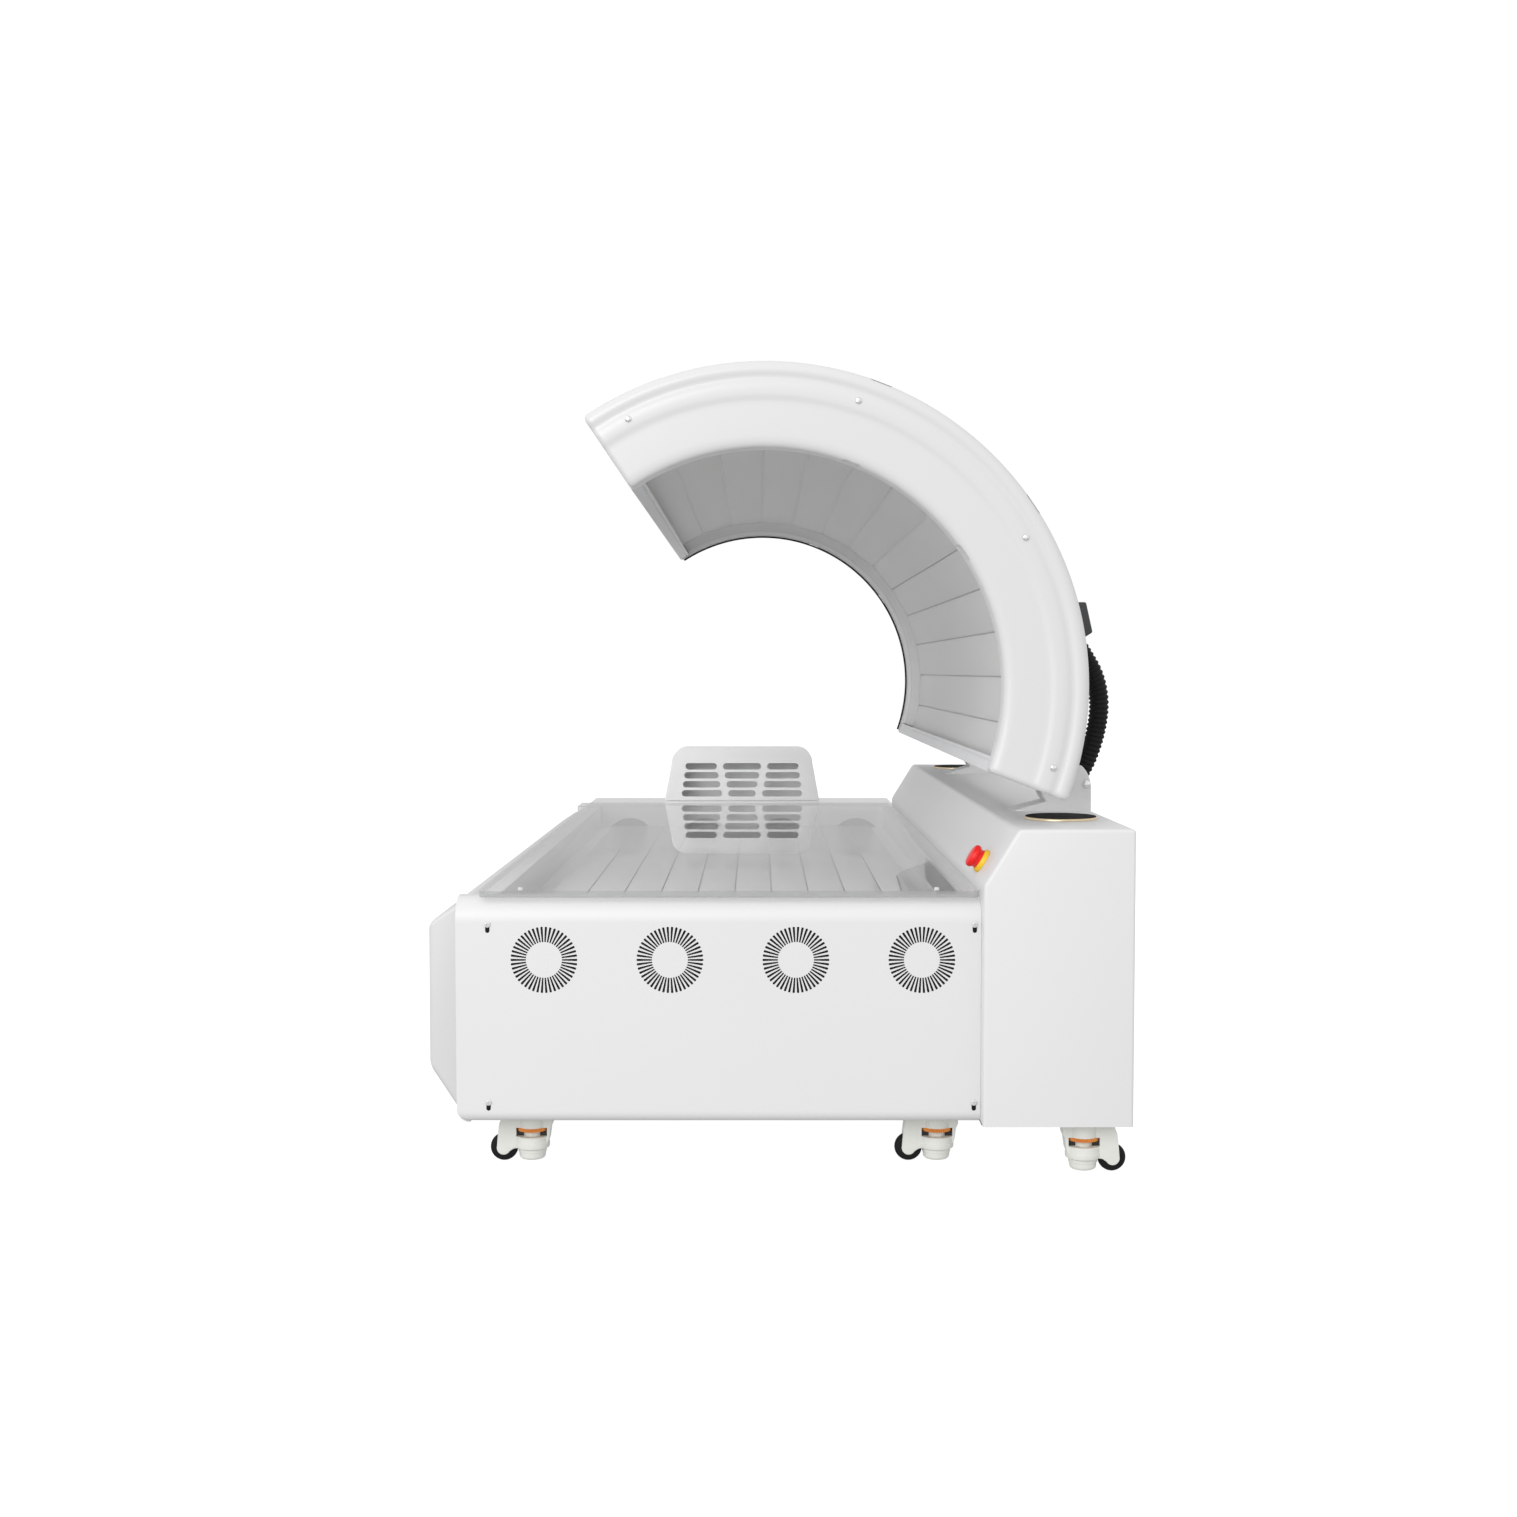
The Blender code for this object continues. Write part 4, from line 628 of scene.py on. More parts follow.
def screwMaster():
    r, h = panScrew["radius"], panScrew["rise"]
    profile = [(0, 0), (r * 0.92, 0), (r, 0.15 * h), (r, 0.35 * h)]
    for degrees in (25, 50, 70, 82):
        turn = math.radians(degrees)
        profile.append((r * math.cos(turn), 0.35 * h + 0.65 * h * math.sin(turn)))
    head = turned("screwHead", profile + [(0, h)], 28)
    long, wide, deep = panScrew["crossLong"], panScrew["crossWide"] / 2, panScrew["crossDeep"]
    cross = [(long, -wide), (long, wide), (wide, wide), (wide, long), (-wide, long), (-wide, wide),
             (-long, wide), (-long, -wide), (-wide, -wide), (-wide, -long), (wide, -long),
             (wide, -wide)]
    cutter = drawPrism("crossCut", [(u, v, h - deep) for u, v in cross], (0, 0, 2 * deep))
    return carve(head, cutter)


def placeScrews(name, spots, body, finish, slotName, scale=1.0):
    # spots are (place, direction the head looks)
    heads = [copyOf(screwModel, name, seatAt(place, direction) @ Matrix.Scale(scale, 4))
             for place, direction in spots]
    settle(joined(name, heads), body, finish, slotName)


screwModel = screwMaster()
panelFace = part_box("near_end_panel")[0].y
panelSpots = [((x, panelFace - panScrew["lift"], z), (0, -1, 0)) for x, z in keySpots]
placeScrews("panelScrews", panelSpots, "base", mouldedWhite, "moulded_white")


def makeKeyholeInserts():
    # black rubber pads behind the keyholes
    outline = arcPoints((0, 0), endPanel["padRadius"], 0, 345, 23)
    face = panelFace + endPanel["wall"] + endPanel["padGap"]
    pads = [soften(wallPrism("keyholePad", outline, face, endPanel["padThick"], x,
                             z - endPanel["padDrop"]), 0.0008) for x, z in keySpots]
    settle(joined("keyholeInserts", pads), "base", blackRubber, "black_rubber")


def makeFilters():
    # thin black foam discs behind each ring of slots, in front of the fan
    discs = []
    radius = endPanel["slotOut"] + endPanel["filterMargin"]
    for end, face, toward in (("near", panelFace, 1), ("far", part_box("far_end_panel")[1].y, -1)):
        y = face + toward * (endPanel["wall"] + fit["play"])
        for spot in fanSpots(end):
            ring = arcPoints((spot.x, spot.z), radius, 0, 354, 59)
            discs.append(wallPrism("ventFilter", ring, y, toward * endPanel["filterThick"]))
    settle(joined("ventFilters", discs), "base", blackRubber, "black_rubber")


makeKeyholeInserts()
makeFilters()
print("end panels and screws made")


# left side skirt: one folded box with a sloped foot and a sloped top
skirt = {"footRun": 0.057, "footRise": 0.0872, "faceHigh": 0.417, "topRun": 0.0495, "round": 0.010}


def makeSkirt():
    low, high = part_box("left_side_skirt")
    outline = [(low.x + skirt["footRun"], low.z), (low.x, low.z + skirt["footRise"]),
               (low.x, skirt["faceHigh"]), (low.x + skirt["topRun"], high.z), (high.x, high.z),
               (high.x, low.z)]
    body = wallPrism("leftSideSkirt", outline, low.y, high.y - low.y)
    selectFaces(body, lambda centre, normal: normal.x < -0.3)
    bpy.ops.mesh.select_mode(type='EDGE')
    bpy.ops.mesh.bevel(offset=skirt["round"], segments=5, affect='EDGES')
    objectMode()
    # painted shade: the skirt takes the greyer copy of the powder coat
    settle(body, "base", shadedSkirtWhite, "white_enamel", "left_side_skirt", angle=25)


makeSkirt()


# base pan, set back a little under the column so that no edge shows
pan = {"setBack": 0.008, "near": 0.01}


def makePan():
    low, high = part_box("base_pan")
    plate = cleanMesh(copyOf(nodes["base_pan"], "basePan"))
    front = lambda centre, normal: normal.y < -0.9 and centre.y < low.y + pan["near"]
    right = lambda centre, normal: normal.x > 0.9 and centre.x > high.x - pan["near"]
    for test, step in ((front, (0, pan["setBack"], 0)), (right, (-pan["setBack"], 0, 0))):
        selectFaces(plate, test)
        bpy.ops.transform.translate(value=step)
        objectMode()
    settle(plate, "base", powderWhite, "white_enamel", "base_pan")


makePan()


# hinge column: hollow folded steel, slanted inner shoulder, holes for speakers, stop and inlet
column = {"shoulderRun": 0.0572, "shoulderRise": 0.093, "wall": 0.003, "round": 0.006,
          "speakerHole": 0.0555, "stopHole": 0.0084, "stopUp": 0.030, "through": 0.02}


def columnLine(low, high, inset, foot):
    run, rise = column["shoulderRun"], column["shoulderRise"]
    return [(low.x + inset, foot), (high.x - inset, foot), (high.x - inset, high.z - inset),
            (low.x + run + inset / 2, high.z - inset), (low.x + inset, high.z - rise)]


def stopFrame():
    # the stop's seat on the shoulder: its axis looks up and to the left
    low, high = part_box("column_housing")
    slope = Vector((column["shoulderRun"], 0, column["shoulderRise"])).normalized()
    foot = Vector((low.x, middleOf("estop_collar").y, high.z - column["shoulderRise"]))
    return seatAt(foot + slope * column["stopUp"], -Vector(joints["estop_press"]["axis"]))


def makeColumn():
    low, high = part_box("column_housing")
    length, wall, through = high.y - low.y, column["wall"], column["through"]
    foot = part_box("base_pan")[0].z
    body = wallPrism("columnHousing", columnLine(low, high, 0, foot - 0.02), low.y, length)
    soften(body, column["round"], 4)
    carve(body, wallPrism("columnRoom", columnLine(low, high, wall, foot - 0.04), low.y + wall,
                          length - 2 * wall))
    # the lower edge stays sharp and covers the pan's edge
    carve(body, boxPiece("columnTrim", (low.x - 0.1, low.y - 0.1, foot - 0.1),
                         (high.x + 0.1, high.y + 0.1, foot)))
    for node in ("speaker_near", "speaker_far"):
        spot = middleOf(node)
        carve(body, plug("speakerHole", column["speakerHole"], -through, fit["past"],
                         place=Matrix.Translation((spot.x, spot.y, high.z))))
    carve(body, plug("stopHole", column["stopHole"], -through, through, 24, stopFrame()))
    inletLow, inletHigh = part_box("mains_inlet")
    play = fit["play"]
    carve(body, boxPiece("inletHole", (high.x - through, inletLow.y - play, inletLow.z - play),
                         (high.x + through, inletHigh.y + play, inletHigh.z + play)))
    settle(body, "base", powderWhite, "white_enamel", "column_housing", angle=25)


# mains inlet low on the column's outer side: a black flange, a keyed mouth and three flat pins
inlet = {"flange": 0.0036, "bodyWide": 0.031, "bodyHigh": 0.023, "mouthWide": 0.0245,
         "mouthHigh": 0.0165, "key": 0.0045, "deep": 0.020, "pinWide": 0.0022, "pinHigh": 0.0045,
         "pinPitch": 0.007, "pinShift": 0.002, "pinLong": 0.015}


def makeInlet():
    low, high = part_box("mains_inlet")
    mid = (low + high) / 2
    wide, tall = inlet["bodyWide"] / 2, inlet["bodyHigh"] / 2
    flange = boxPiece("mainsInlet", (high.x - inlet["flange"], low.y, low.z), high)
    body = soften(flange, 0.0012)
    carve(body, boxPiece("inletBack", (low.x, mid.y - wide, mid.z - tall),
                         (high.x - 0.001, mid.y + wide, mid.z + tall)), 'UNION')
    wide, tall, key = inlet["mouthWide"] / 2, inlet["mouthHigh"] / 2, inlet["key"]
    mouth = [(-wide, -tall), (wide, -tall), (wide, tall - key), (wide - key, tall),
             (key - wide, tall), (-wide, tall - key)]
    carve(body, drawPrism("inletMouth", [(high.x + 0.002, mid.y + u, mid.z + v) for u, v in mouth],
                          (-inlet["deep"] - 0.002, 0, 0)))
    settle(body, "base", blackAbs, "black_plastic", "mains_inlet")
    floor, u, v = high.x - inlet["deep"], inlet["pinWide"] / 2, inlet["pinHigh"] / 2
    pitch, shift = inlet["pinPitch"], inlet["pinShift"]
    pins = []
    for along, rise in ((-pitch, -shift), (0, shift), (pitch, -shift)):
        y, z = mid.y + along, mid.z + rise
        pin = boxPiece("inletPin", (floor + 0.0001, y - u, z - v),
                       (floor + inlet["pinLong"], y + u, z + v))
        pins.append(soften(pin, 0.0005))
    settle(joined("inletPins", pins), "base", zincSteel, "zinc_steel")


makeColumn()
makeInlet()
print("skirt and column made")


# emergency stop: red mushroom head with a waist, on a yellow bevelled collar
stop = {"collar": 0.021, "collarRise": 0.008, "gap": 0.007, "head": 0.020, "headRise": 0.012,
        "stem": 0.0078, "stemDown": 0.015, "waist": 0.0165, "stemPlay": 0.0006,
        "waistPlay": 0.0005, "floor": 0.0016}


def makeStop():
    base = fit["play"]
    top, floor = base + stop["collarRise"], base + stop["floor"]
    r, s, w = stop["collar"], stop["stem"] + stop["stemPlay"], stop["waist"] + stop["waistPlay"]
    ring = [(s, base), (r, base), (r, top - 0.003), (r - 0.0010, top - 0.001), (r - 0.0020, top),
            (w + 0.0006, top), (w, top - 0.0006), (w, floor), (s, floor), (s, base)]
    collar = turned("stopCollar", ring, place=stopFrame())
    settle(collar, "base", stopYellow, "stop_yellow", "estop_collar")
    under = top + stop["gap"]
    r, h, s, w = stop["head"], stop["headRise"], stop["stem"], stop["waist"]
    tail = under - stop["stemDown"]
    cap = [(0, tail), (s, tail), (s, top - 0.0005), (w, top - 0.0005), (w, under - 0.0022),
           (w + 0.0006, under - 0.0008), (r * 0.93, under), (r * 0.98, under + 0.0012),
           (r, under + 0.003), (r, under + h * 0.5), (r * 0.97, under + h * 0.66),
           (r * 0.88, under + h * 0.82), (r * 0.7, under + h * 0.93), (r * 0.45, under + h * 0.985),
           (0, under + h)]
    head = turned("stopMushroom", cap, place=stopFrame())
    settle(head, "estop", stopRed, "stop_red", "estop_button")


makeStop()


# speakers: a dark grille with a raised lid in a pale gold ring
speaker = {"ring": 0.063, "ringIn": 0.0585, "rise": 0.0042, "lid": 0.0613, "sides": 72}


def makeSpeaker(end):
    spot = middleOf("speaker_" + end)
    place = Matrix.Translation((spot.x, spot.y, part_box("column_housing")[1].z))
    r, i, h, lid = speaker["ring"], speaker["ringIn"], speaker["rise"], speaker["lid"]
    foot = fit["play"]
    ring = [(i, foot), (r, foot), (r, h * 0.6), (r - 0.0008, h * 0.9), (r - 0.0018, h),
            (i + 0.001, h * 0.9), (i, h * 0.6), (i, foot)]
    rim = turned(end + "SpeakerRing", ring, speaker["sides"], place)
    settle(rim, "base", goldRing, "zinc_steel")
    face = [(0, -0.040), (0.030, -0.040), (0.033, -0.038), (0.0535, -0.02), (0.0548, -0.004),
            (0.0548, 0.0004), (i - 0.0003, 0.0004), (i - 0.0003, h), (lid, h + 0.0001),
            (lid, h + 0.0010), (lid - 0.0012, h + 0.0014), (0.048, h + 0.0012), (0.036, h + 0.0010),
            (0.019, h + 0.0009), (0.0172, h + 0.0014), (0.012, h + 0.0018), (0, h + 0.0020)]
    grille = turned(end + "SpeakerGrille", face, speaker["sides"], place)
    settle(grille, "base", speakerMesh, "black_plastic", "speaker_" + end)


makeSpeaker("near")
makeSpeaker("far")
print("stop and speakers made")


# headrest: a hollow leaning moulding with rows of rounded slots
rest = {"topHalf": 0.196, "lowHalf": 0.2155, "height": 0.148, "depth": 0.120, "corner": 0.040,
        "wall": 0.006, "lean": 0.14, "rows": 4, "firstRow": 0.021, "rowPitch": 0.0249,
        "slot": 0.009, "slotDeep": 0.05, "midHalf": 0.0385, "midGrowth": 0.00485,
        "bridge": 0.017, "edge": 0.045, "round": 0.003}


def restLine(inset, foot):
    low, top, r = rest["lowHalf"] - inset, rest["topHalf"] - inset, rest["corner"] - inset
    high = rest["height"] - inset
    rounded = arcPoints((r - top, high - r), r, 180, 90, 10)
    return [(-low, foot)] + rounded + arcPoints((top - r, high - r), r, 90, 0, 10) + [(low, foot)]


def leanBack(piece, front):
    # shears the front face back as it rises
    for vertex in piece.data.vertices:
        if abs(vertex.co.y - front) < 1e-4:
            vertex.co.y += rest["lean"] * vertex.co.z


def makeHeadrest():
    low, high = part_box("headrest")
    wall, r, bridge, past = rest["wall"], rest["slot"], rest["bridge"], fit["past"]
    body = wallPrism("headrestMoulding", restLine(0, 0), 0, rest["depth"])
    leanBack(body, 0)
    soften(body, rest["round"], 3)
    room = wallPrism("headrestRoom", restLine(wall, -past), wall, rest["depth"] - 2 * wall)
    leanBack(room, wall)
    carve(body, room)
    cutters = []
    for row in range(rest["rows"]):
        z = rest["firstRow"] + rest["rowPitch"] * row
        narrowing = (rest["lowHalf"] - rest["topHalf"]) * z / rest["height"]
        half = rest["lowHalf"] - narrowing - rest["edge"]
        mid = rest["midHalf"] + rest["midGrowth"] * row
        for left, right in ((-mid, mid), (-half, -mid - bridge), (mid + bridge, half)):
            outline = arcPoints((left + r, z), r, 270, 90, 8)
            outline += arcPoints((right - r, z), r, 90, -90, 8)
            cutters.append(wallPrism("headrestSlot", outline, -past, rest["slotDeep"]))
    carve(body, joined("headrestSlots", cutters))
    body.data.transform(Matrix.Translation(((low.x + high.x) / 2, low.y, low.z)))
    settle(body, "base", headWhite, "headrest_white", "headrest", angle=40)


makeHeadrest()
print("headrest made")


# canopy: moulded end caps, smooth shell, LED strips, clear cover and rails round one centre line
canopy = {"reach": 0.544, "rise": 0.188, "from": -20.6, "to": 124.0, "steps": 96, "outer": 0.537,
          "lip": 0.395, "deep": 0.045, "wall": 0.006, "roomFront": 0.018, "roomTip": 0.7,
          "shellOut": 0.535, "shellIn": 0.531, "strips": 13, "stripIn": 0.430, "stripThick": 0.004,
          "seam": 0.0022, "coverOut": 0.408, "coverIn": 0.405, "bandOut": 0.434, "bandTip": 4,
          "tipRound": 0.009, "railAngle": 0.9, "railLip": 0.026, "railStep": 0.0075,
          "railGroove": 0.0016, "screwRadius": 0.494, "screwAngles": (117.0, 72.0, 30.0, -15.5),
          "sealIn": 0.0165, "sealTip": 1}
hinge = Vector(joints["canopy_hinge"]["pos_m"])
canopyCentre = hinge + Vector((-canopy["reach"], 0, canopy["rise"]))


def onCanopy(angle):
    # (radius, y) on the plane standing at this angle about the canopy's centre line
    turn = math.radians(angle)
    return lambda radius, y: canopyCentre + Vector((radius * math.cos(turn), y,
                                                    radius * math.sin(turn)))


def sweepCanopy(name, profile, start, end, steps=canopy["steps"]):
    place = onCanopy(start)
    points = [place(radius, y) for radius, y in profile]
    return spinLine(name, points, canopyCentre, (0, 1, 0), steps, math.radians(end - start), True)


def makeCap(end, toward):
    # rounded rim, valley, raised band and flat face to the inner lip; hollow behind
    node = f"canopy_{end}_cap"
    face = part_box(node)[0 if toward > 0 else 1].y
    outer, lip, wall, deep = canopy["outer"], canopy["lip"], canopy["wall"], canopy["deep"]
    lowTip, highTip = canopy["from"], canopy["to"]
    skin = [(outer, deep), (outer, 0.016), (outer - 0.0008, 0.0115), (outer - 0.0035, 0.0068),
            (outer - 0.0080, 0.0032), (outer - 0.0130, 0.0014), (0.5195, 0.0012), (0.5145, 0.0026),
            (0.5100, 0.0042), (0.5055, 0.0036), (0.5010, 0.0014), (0.4960, 0.0002), (0.4900, 0.0),
            (0.4820, 0.0001), (0.4770, 0.0010), (0.4735, 0.0022), (0.4690, 0.0029),
            (0.4630, 0.0030), (0.4150, 0.0030), (0.4060, 0.0036), (0.4000, 0.0056),
            (0.3965, 0.0090), (lip, 0.014), (lip, deep)]
    inward = lambda profile: [(radius, face + toward * depth) for radius, depth in profile]
    cap = sweepCanopy(end + "Cap", inward(skin), lowTip, highTip)
    ends = [onCanopy(angle + 90)(1, 0) - canopyCentre for angle in (lowTip, highTip)]
    selectFaces(cap, lambda centre, normal: max(abs(normal.dot(way)) for way in ends) > 0.9999)
    bpy.ops.mesh.region_to_loop()
    bpy.ops.mesh.bevel(offset=canopy["tipRound"], segments=5, affect='EDGES')
    objectMode()
    front, back, tip = canopy["roomFront"], deep + fit["past"], canopy["roomTip"]
    room = [(lip + wall, back), (lip + wall, front), (outer - wall, front), (outer - wall, back)]
    carve(cap, sweepCanopy("capRoom", inward(room), lowTip + tip, highTip - tip))
    settle(cap, "canopy", mouldedWhite, "moulded_white", node, angle=32)
    spots = [(onCanopy(angle)(canopy["screwRadius"], face), (0, -toward, 0))
             for angle in canopy["screwAngles"]]
    placeScrews(end + "CapScrews", spots, "canopy", domeSteel, "zinc_steel", scale=1.05)


def makeRail(end, angle, side):
    # an L section: a plate closes the arc's end, a lip holds the cover; side is +1 at the low end
    near, far = (corner.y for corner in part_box("canopy_shell"))
    r, high = canopy["lip"] + 0.002, canopy["shellIn"] - 0.0006
    step, groove = r + canopy["railStep"], r + canopy["railGroove"]
    thick, lip = canopy["railAngle"], math.degrees(canopy["railLip"] / r)
    outline = [(r, 0), (high, 0), (high, thick), (step, thick), (step, lip), (r, lip),
               (r, lip * 0.8), (groove, lip * 0.8), (groove, lip * 0.7), (r, lip * 0.7)]
    points = [onCanopy(angle + side * turn)(radius, near) for radius, turn in outline]
    rail = soften(drawPrism(end + "Rail", points, (0, far - near, 0)), 0.0005, 2, 50)
    settle(rail, "canopy", anodised, "rail_aluminium", f"canopy_{end}_rail")


def makeCanopyInside():
    near, shellFar = (corner.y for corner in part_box("canopy_shell"))
    lowTip, highTip, lip = canopy["from"], canopy["to"], canopy["lip"]
    across = lambda a, b, far: [(b, near), (b, far), (a, far), (a, near)]
    shell = sweepCanopy("canopyShell", across(canopy["shellIn"], canopy["shellOut"], shellFar),
                        lowTip, highTip)
    settle(shell, "canopy", mouldedWhite, "moulded_white", "canopy_shell")
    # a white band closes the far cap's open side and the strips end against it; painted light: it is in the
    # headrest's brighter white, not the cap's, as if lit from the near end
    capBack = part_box("canopy_far_cap")[1].y
    edge, tip = capBack - canopy["deep"], canopy["bandTip"]
    band = [(canopy["bandOut"], edge - 0.0010), (canopy["bandOut"], edge - 0.0002),
            (lip + 0.0006, edge - 0.0002), (lip + 0.0006, edge - 0.0010)]
    settle(sweepCanopy("farEndLitBand", band, lowTip + tip, highTip - tip), "canopy", headWhite,
           "moulded_white")
    # flat strips between the rails; painted highlight: bright white beads fill only the seams of the crown, so
    # those seams read light
    far = edge - 0.0012
    first = lowTip + canopy["railAngle"] + 0.05
    last = highTip - canopy["railAngle"] - 0.05
    strips, r, t = canopy["strips"], canopy["stripIn"], canopy["stripThick"]
    pitch = (last - first) / strips
    gap = math.degrees(canopy["seam"] / r) / 2

    def slat(name, low, high, inner, outer):
        a, b = onCanopy(low), onCanopy(high)
        outline = [a(inner, near), b(inner, near), b(outer, near), a(outer, near)]
        return drawPrism(name, outline, (0, far - near, 0))

    board = soften(slat("canopyStrips", first + gap, first + pitch - gap, r, r + t), 0.0012)
    spinCopies(board, strips - 1, math.radians(pitch), canopyCentre)
    settle(board, "canopy", linerWhite, "led_board", "canopy_led_liner")
    # painted highlight: beads in the upper seams only, in the headrest's brighter white
    crown = strips // 2
    seam = first + crown * pitch
    seamHighlight = slat("crownSeamHighlights", seam - gap * 0.8, seam + gap * 0.8, r + 0.0005, r + t - 0.0005)
    spinCopies(seamHighlight, strips - 1 - crown, math.radians(pitch), canopyCentre)
    settle(seamHighlight, "canopy", headWhite, "led_board")
    back = sweepCanopy("canopyStripBack", across(r + t + 0.0004, r + t + 0.0016, far), first, last,
                       strips)
    settle(back, "canopy", linerWhite, "led_board")
    cover = sweepCanopy("canopyCover", across(canopy["coverIn"], canopy["coverOut"], far), first,
                        last)
    settle(cover, "canopy", clearCover, "clear_acrylic", "canopy_acrylic_cover")
    # clear acrylic throws no shadow on what lies behind it
    cover.visible_shadow = False
    cover.visible_diffuse = False
    # black rubber bead round the far cap's inner edge
    seat, tip = capBack - canopy["sealIn"], canopy["sealTip"]
    seal = [(lip - 0.0024 + 0.0022 * math.cos(math.radians(turn)),
             seat + 0.003 * math.sin(math.radians(turn))) for turn in range(0, 360, 36)]
    settle(sweepCanopy("farSeal", seal, lowTip + tip, highTip - tip), "canopy", blackRubber,
           "black_rubber", angle=60)


makeCap("near", 1)
makeCap("far", -1)
makeRail("rear", canopy["from"], 1)
makeRail("front", canopy["to"], -1)
makeCanopyInside()
print("canopy made")


# hinges: two rounded brackets on the column top, knuckles on the canopy, steel pins through both
bracket = {"cheek": 0.014, "foot": 0.008, "bulge": 0.058, "bulgeArc": (48, 0), "eye": 0.034,
           "eyeArc": (225, 75), "toe": 0.085, "toeRise": 0.0105, "toeRun": 0.033, "pin": 0.009,
           "knuckle": 0.022, "knuckleArc": (75, -125), "spread": 13.0, "round": 0.003,
           "boltX": 0.049, "boltZ": 0.008, "sunk": 0.004}


def makeHinge(end):
    low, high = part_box("hinge_bracket_" + end)
    start, wide, foot = low.y, high.y - low.y, low.z - hinge.z
    # its rounded lower edge is sunk into the column's top, so that no line shows there
    sunk, run, rise = bracket["sunk"], bracket["toeRun"], bracket["toeRise"]
    outline = [(-bracket["toe"] - run * sunk / rise, foot - sunk),
               (-bracket["toe"] + run, foot + rise)]
    outline += arcPoints((0, 0), bracket["eye"], *bracket["eyeArc"], 20)
    outline += arcPoints((0, 0), bracket["bulge"], *bracket["bulgeArc"], 14)
    outline.append((bracket["bulge"], foot - sunk))
    body = wallPrism(end + "Bracket", outline, start, wide, hinge.x, hinge.z)
    soften(body, bracket["round"], 3, 40)
    cheek, play = bracket["cheek"], fit["play"]
    carve(body, boxPiece("bracketSlot", (hinge.x - 0.2, start + cheek, low.z + bracket["foot"]),
                         (hinge.x + 0.2, high.y - cheek, hinge.z + 0.1)))
    bore = lambda name: lyingDisc(name, bracket["pin"] + play, hinge, start - fit["past"],
                                  high.y + fit["past"])
    carve(body, bore("bracketBore"))
    settle(body, "base", powderWhite, "white_enamel", "hinge_bracket_" + end)
    pin = lyingDisc(end + "HingePin", bracket["pin"], hinge, start, high.y, 0.001)
    settle(pin, "base", zincSteel, "zinc_steel", "hinge_pin_" + end)
    reach = canopyCentre - hinge
    toward = math.degrees(math.atan2(-reach.z, -reach.x))
    lowest = max(canopy["from"], toward - bracket["spread"])
    outline = arcPoints((reach.x, reach.z), canopy["shellOut"] + play, lowest,
                        toward + bracket["spread"], 12)
    outline += arcPoints((0, 0), bracket["knuckle"], *bracket["knuckleArc"], 24)
    inset = cheek + play
    knuckle = wallPrism(end + "Knuckle", outline, start + inset, wide - 2 * inset, hinge.x, hinge.z)
    carve(knuckle, bore("knuckleBore"))
    soften(knuckle, 0.001, 2, 50)
    settle(knuckle, "canopy", powderWhite, "white_enamel", "canopy_knuckle_" + end)
    bolts = [((hinge.x + bracket["boltX"], y, hinge.z + bracket["boltZ"]), (0, look, 0))
             for y, look in ((start, -1), (high.y, 1))]
    placeScrews(end + "BracketBolts", bolts, "base", domeSteel, "zinc_steel", scale=1.4)


makeHinge("near")
makeHinge("far")
print("hinges made")


# junction box on the canopy's back and the gland on the column, joined by the hose
junction = {"round": 0.003, "seat": 0.0225, "footHigh": 0.248, "topDraw": 0.019, "screwAt": 0.7,
            "screwIn": 0.015, "flange": 0.030, "flangeThick": 0.006, "neck": 0.023,
            "neckWall": 0.003, "neckDown": 0.03}


def makeJunctionBox():
    low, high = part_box("canopy_junction_box")
    mouth, leave = (Vector(spot) for spot in hose["route"][:2])
    along = (leave - mouth).normalized()
    across = along.orthogonal() * junction["seat"]
    middle = mouth - along * fit["play"]
    seat = canopy["shellOut"] + fit["play"]
    top, foot = (math.degrees(math.asin((z - canopyCentre.z) / seat))
                 for z in (high.z, hinge.z + junction["footHigh"]))
    crest = Vector((high.x - junction["topDraw"], high.z))
    outline = arcPoints((canopyCentre.x, canopyCentre.z), seat, top, foot, 10)
    outline += [middle - across, middle + across, crest]
    body = wallPrism("junctionBox", outline, low.y, high.y - low.y)
    soften(body, junction["round"], 3)
    settle(body, "canopy", darkNylon, "dark_grey_plastic", "canopy_junction_box")
    lid = crest - middle - across
    spot = middle + across + lid * junction["screwAt"]
    spots = [((spot.x, y, spot.y), (lid.y, 0, -lid.x))
             for y in (low.y + junction["screwIn"], high.y - junction["screwIn"])]
    placeScrews("junctionScrews", spots, "canopy", zincSteel, "zinc_steel", scale=0.7)


def makeGland():
    before, last = (Vector((x, hose["y"], z)) for x, z in hose["route"][-2:])
    up = (before - last).normalized()
    mouth = last - up * fit["play"]
    foot = mouth - up * ((mouth.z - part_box("hose_gland")[0].z) / up.z)
    reach, down = (mouth - foot).length, -junction["neckDown"]
    r, n = junction["neck"], hose["crest"] - junction["neckWall"]
    neck = [(n, down), (r, down), (r, reach - 0.003), (r - 0.001, reach - 0.001),
            (r - 0.003, reach), (n, reach), (n, down)]
    tube = turned("glandNeck", neck, place=seatAt(foot, up))
    carve(tube, boxPiece("glandUnder", foot - Vector((0.1, 0.1, 0.1)),
                         foot + Vector((0.1, 0.1, 0))))
    f, t = junction["flange"], junction["flangeThick"]
    ring = [(n, 0), (f, 0), (f, t - 0.0015), (f - 0.0015, t), (n, t), (n, 0)]
    flange = soften(turned("glandFlange", ring, 6), 0.0008)
    flange.data.transform(Matrix.Translation(foot))
    gland = joined("hoseGland", [tube, flange])
    settle(gland, "base", darkNylon, "dark_grey_plastic", "hose_gland")


makeJunctionBox()
makeGland()


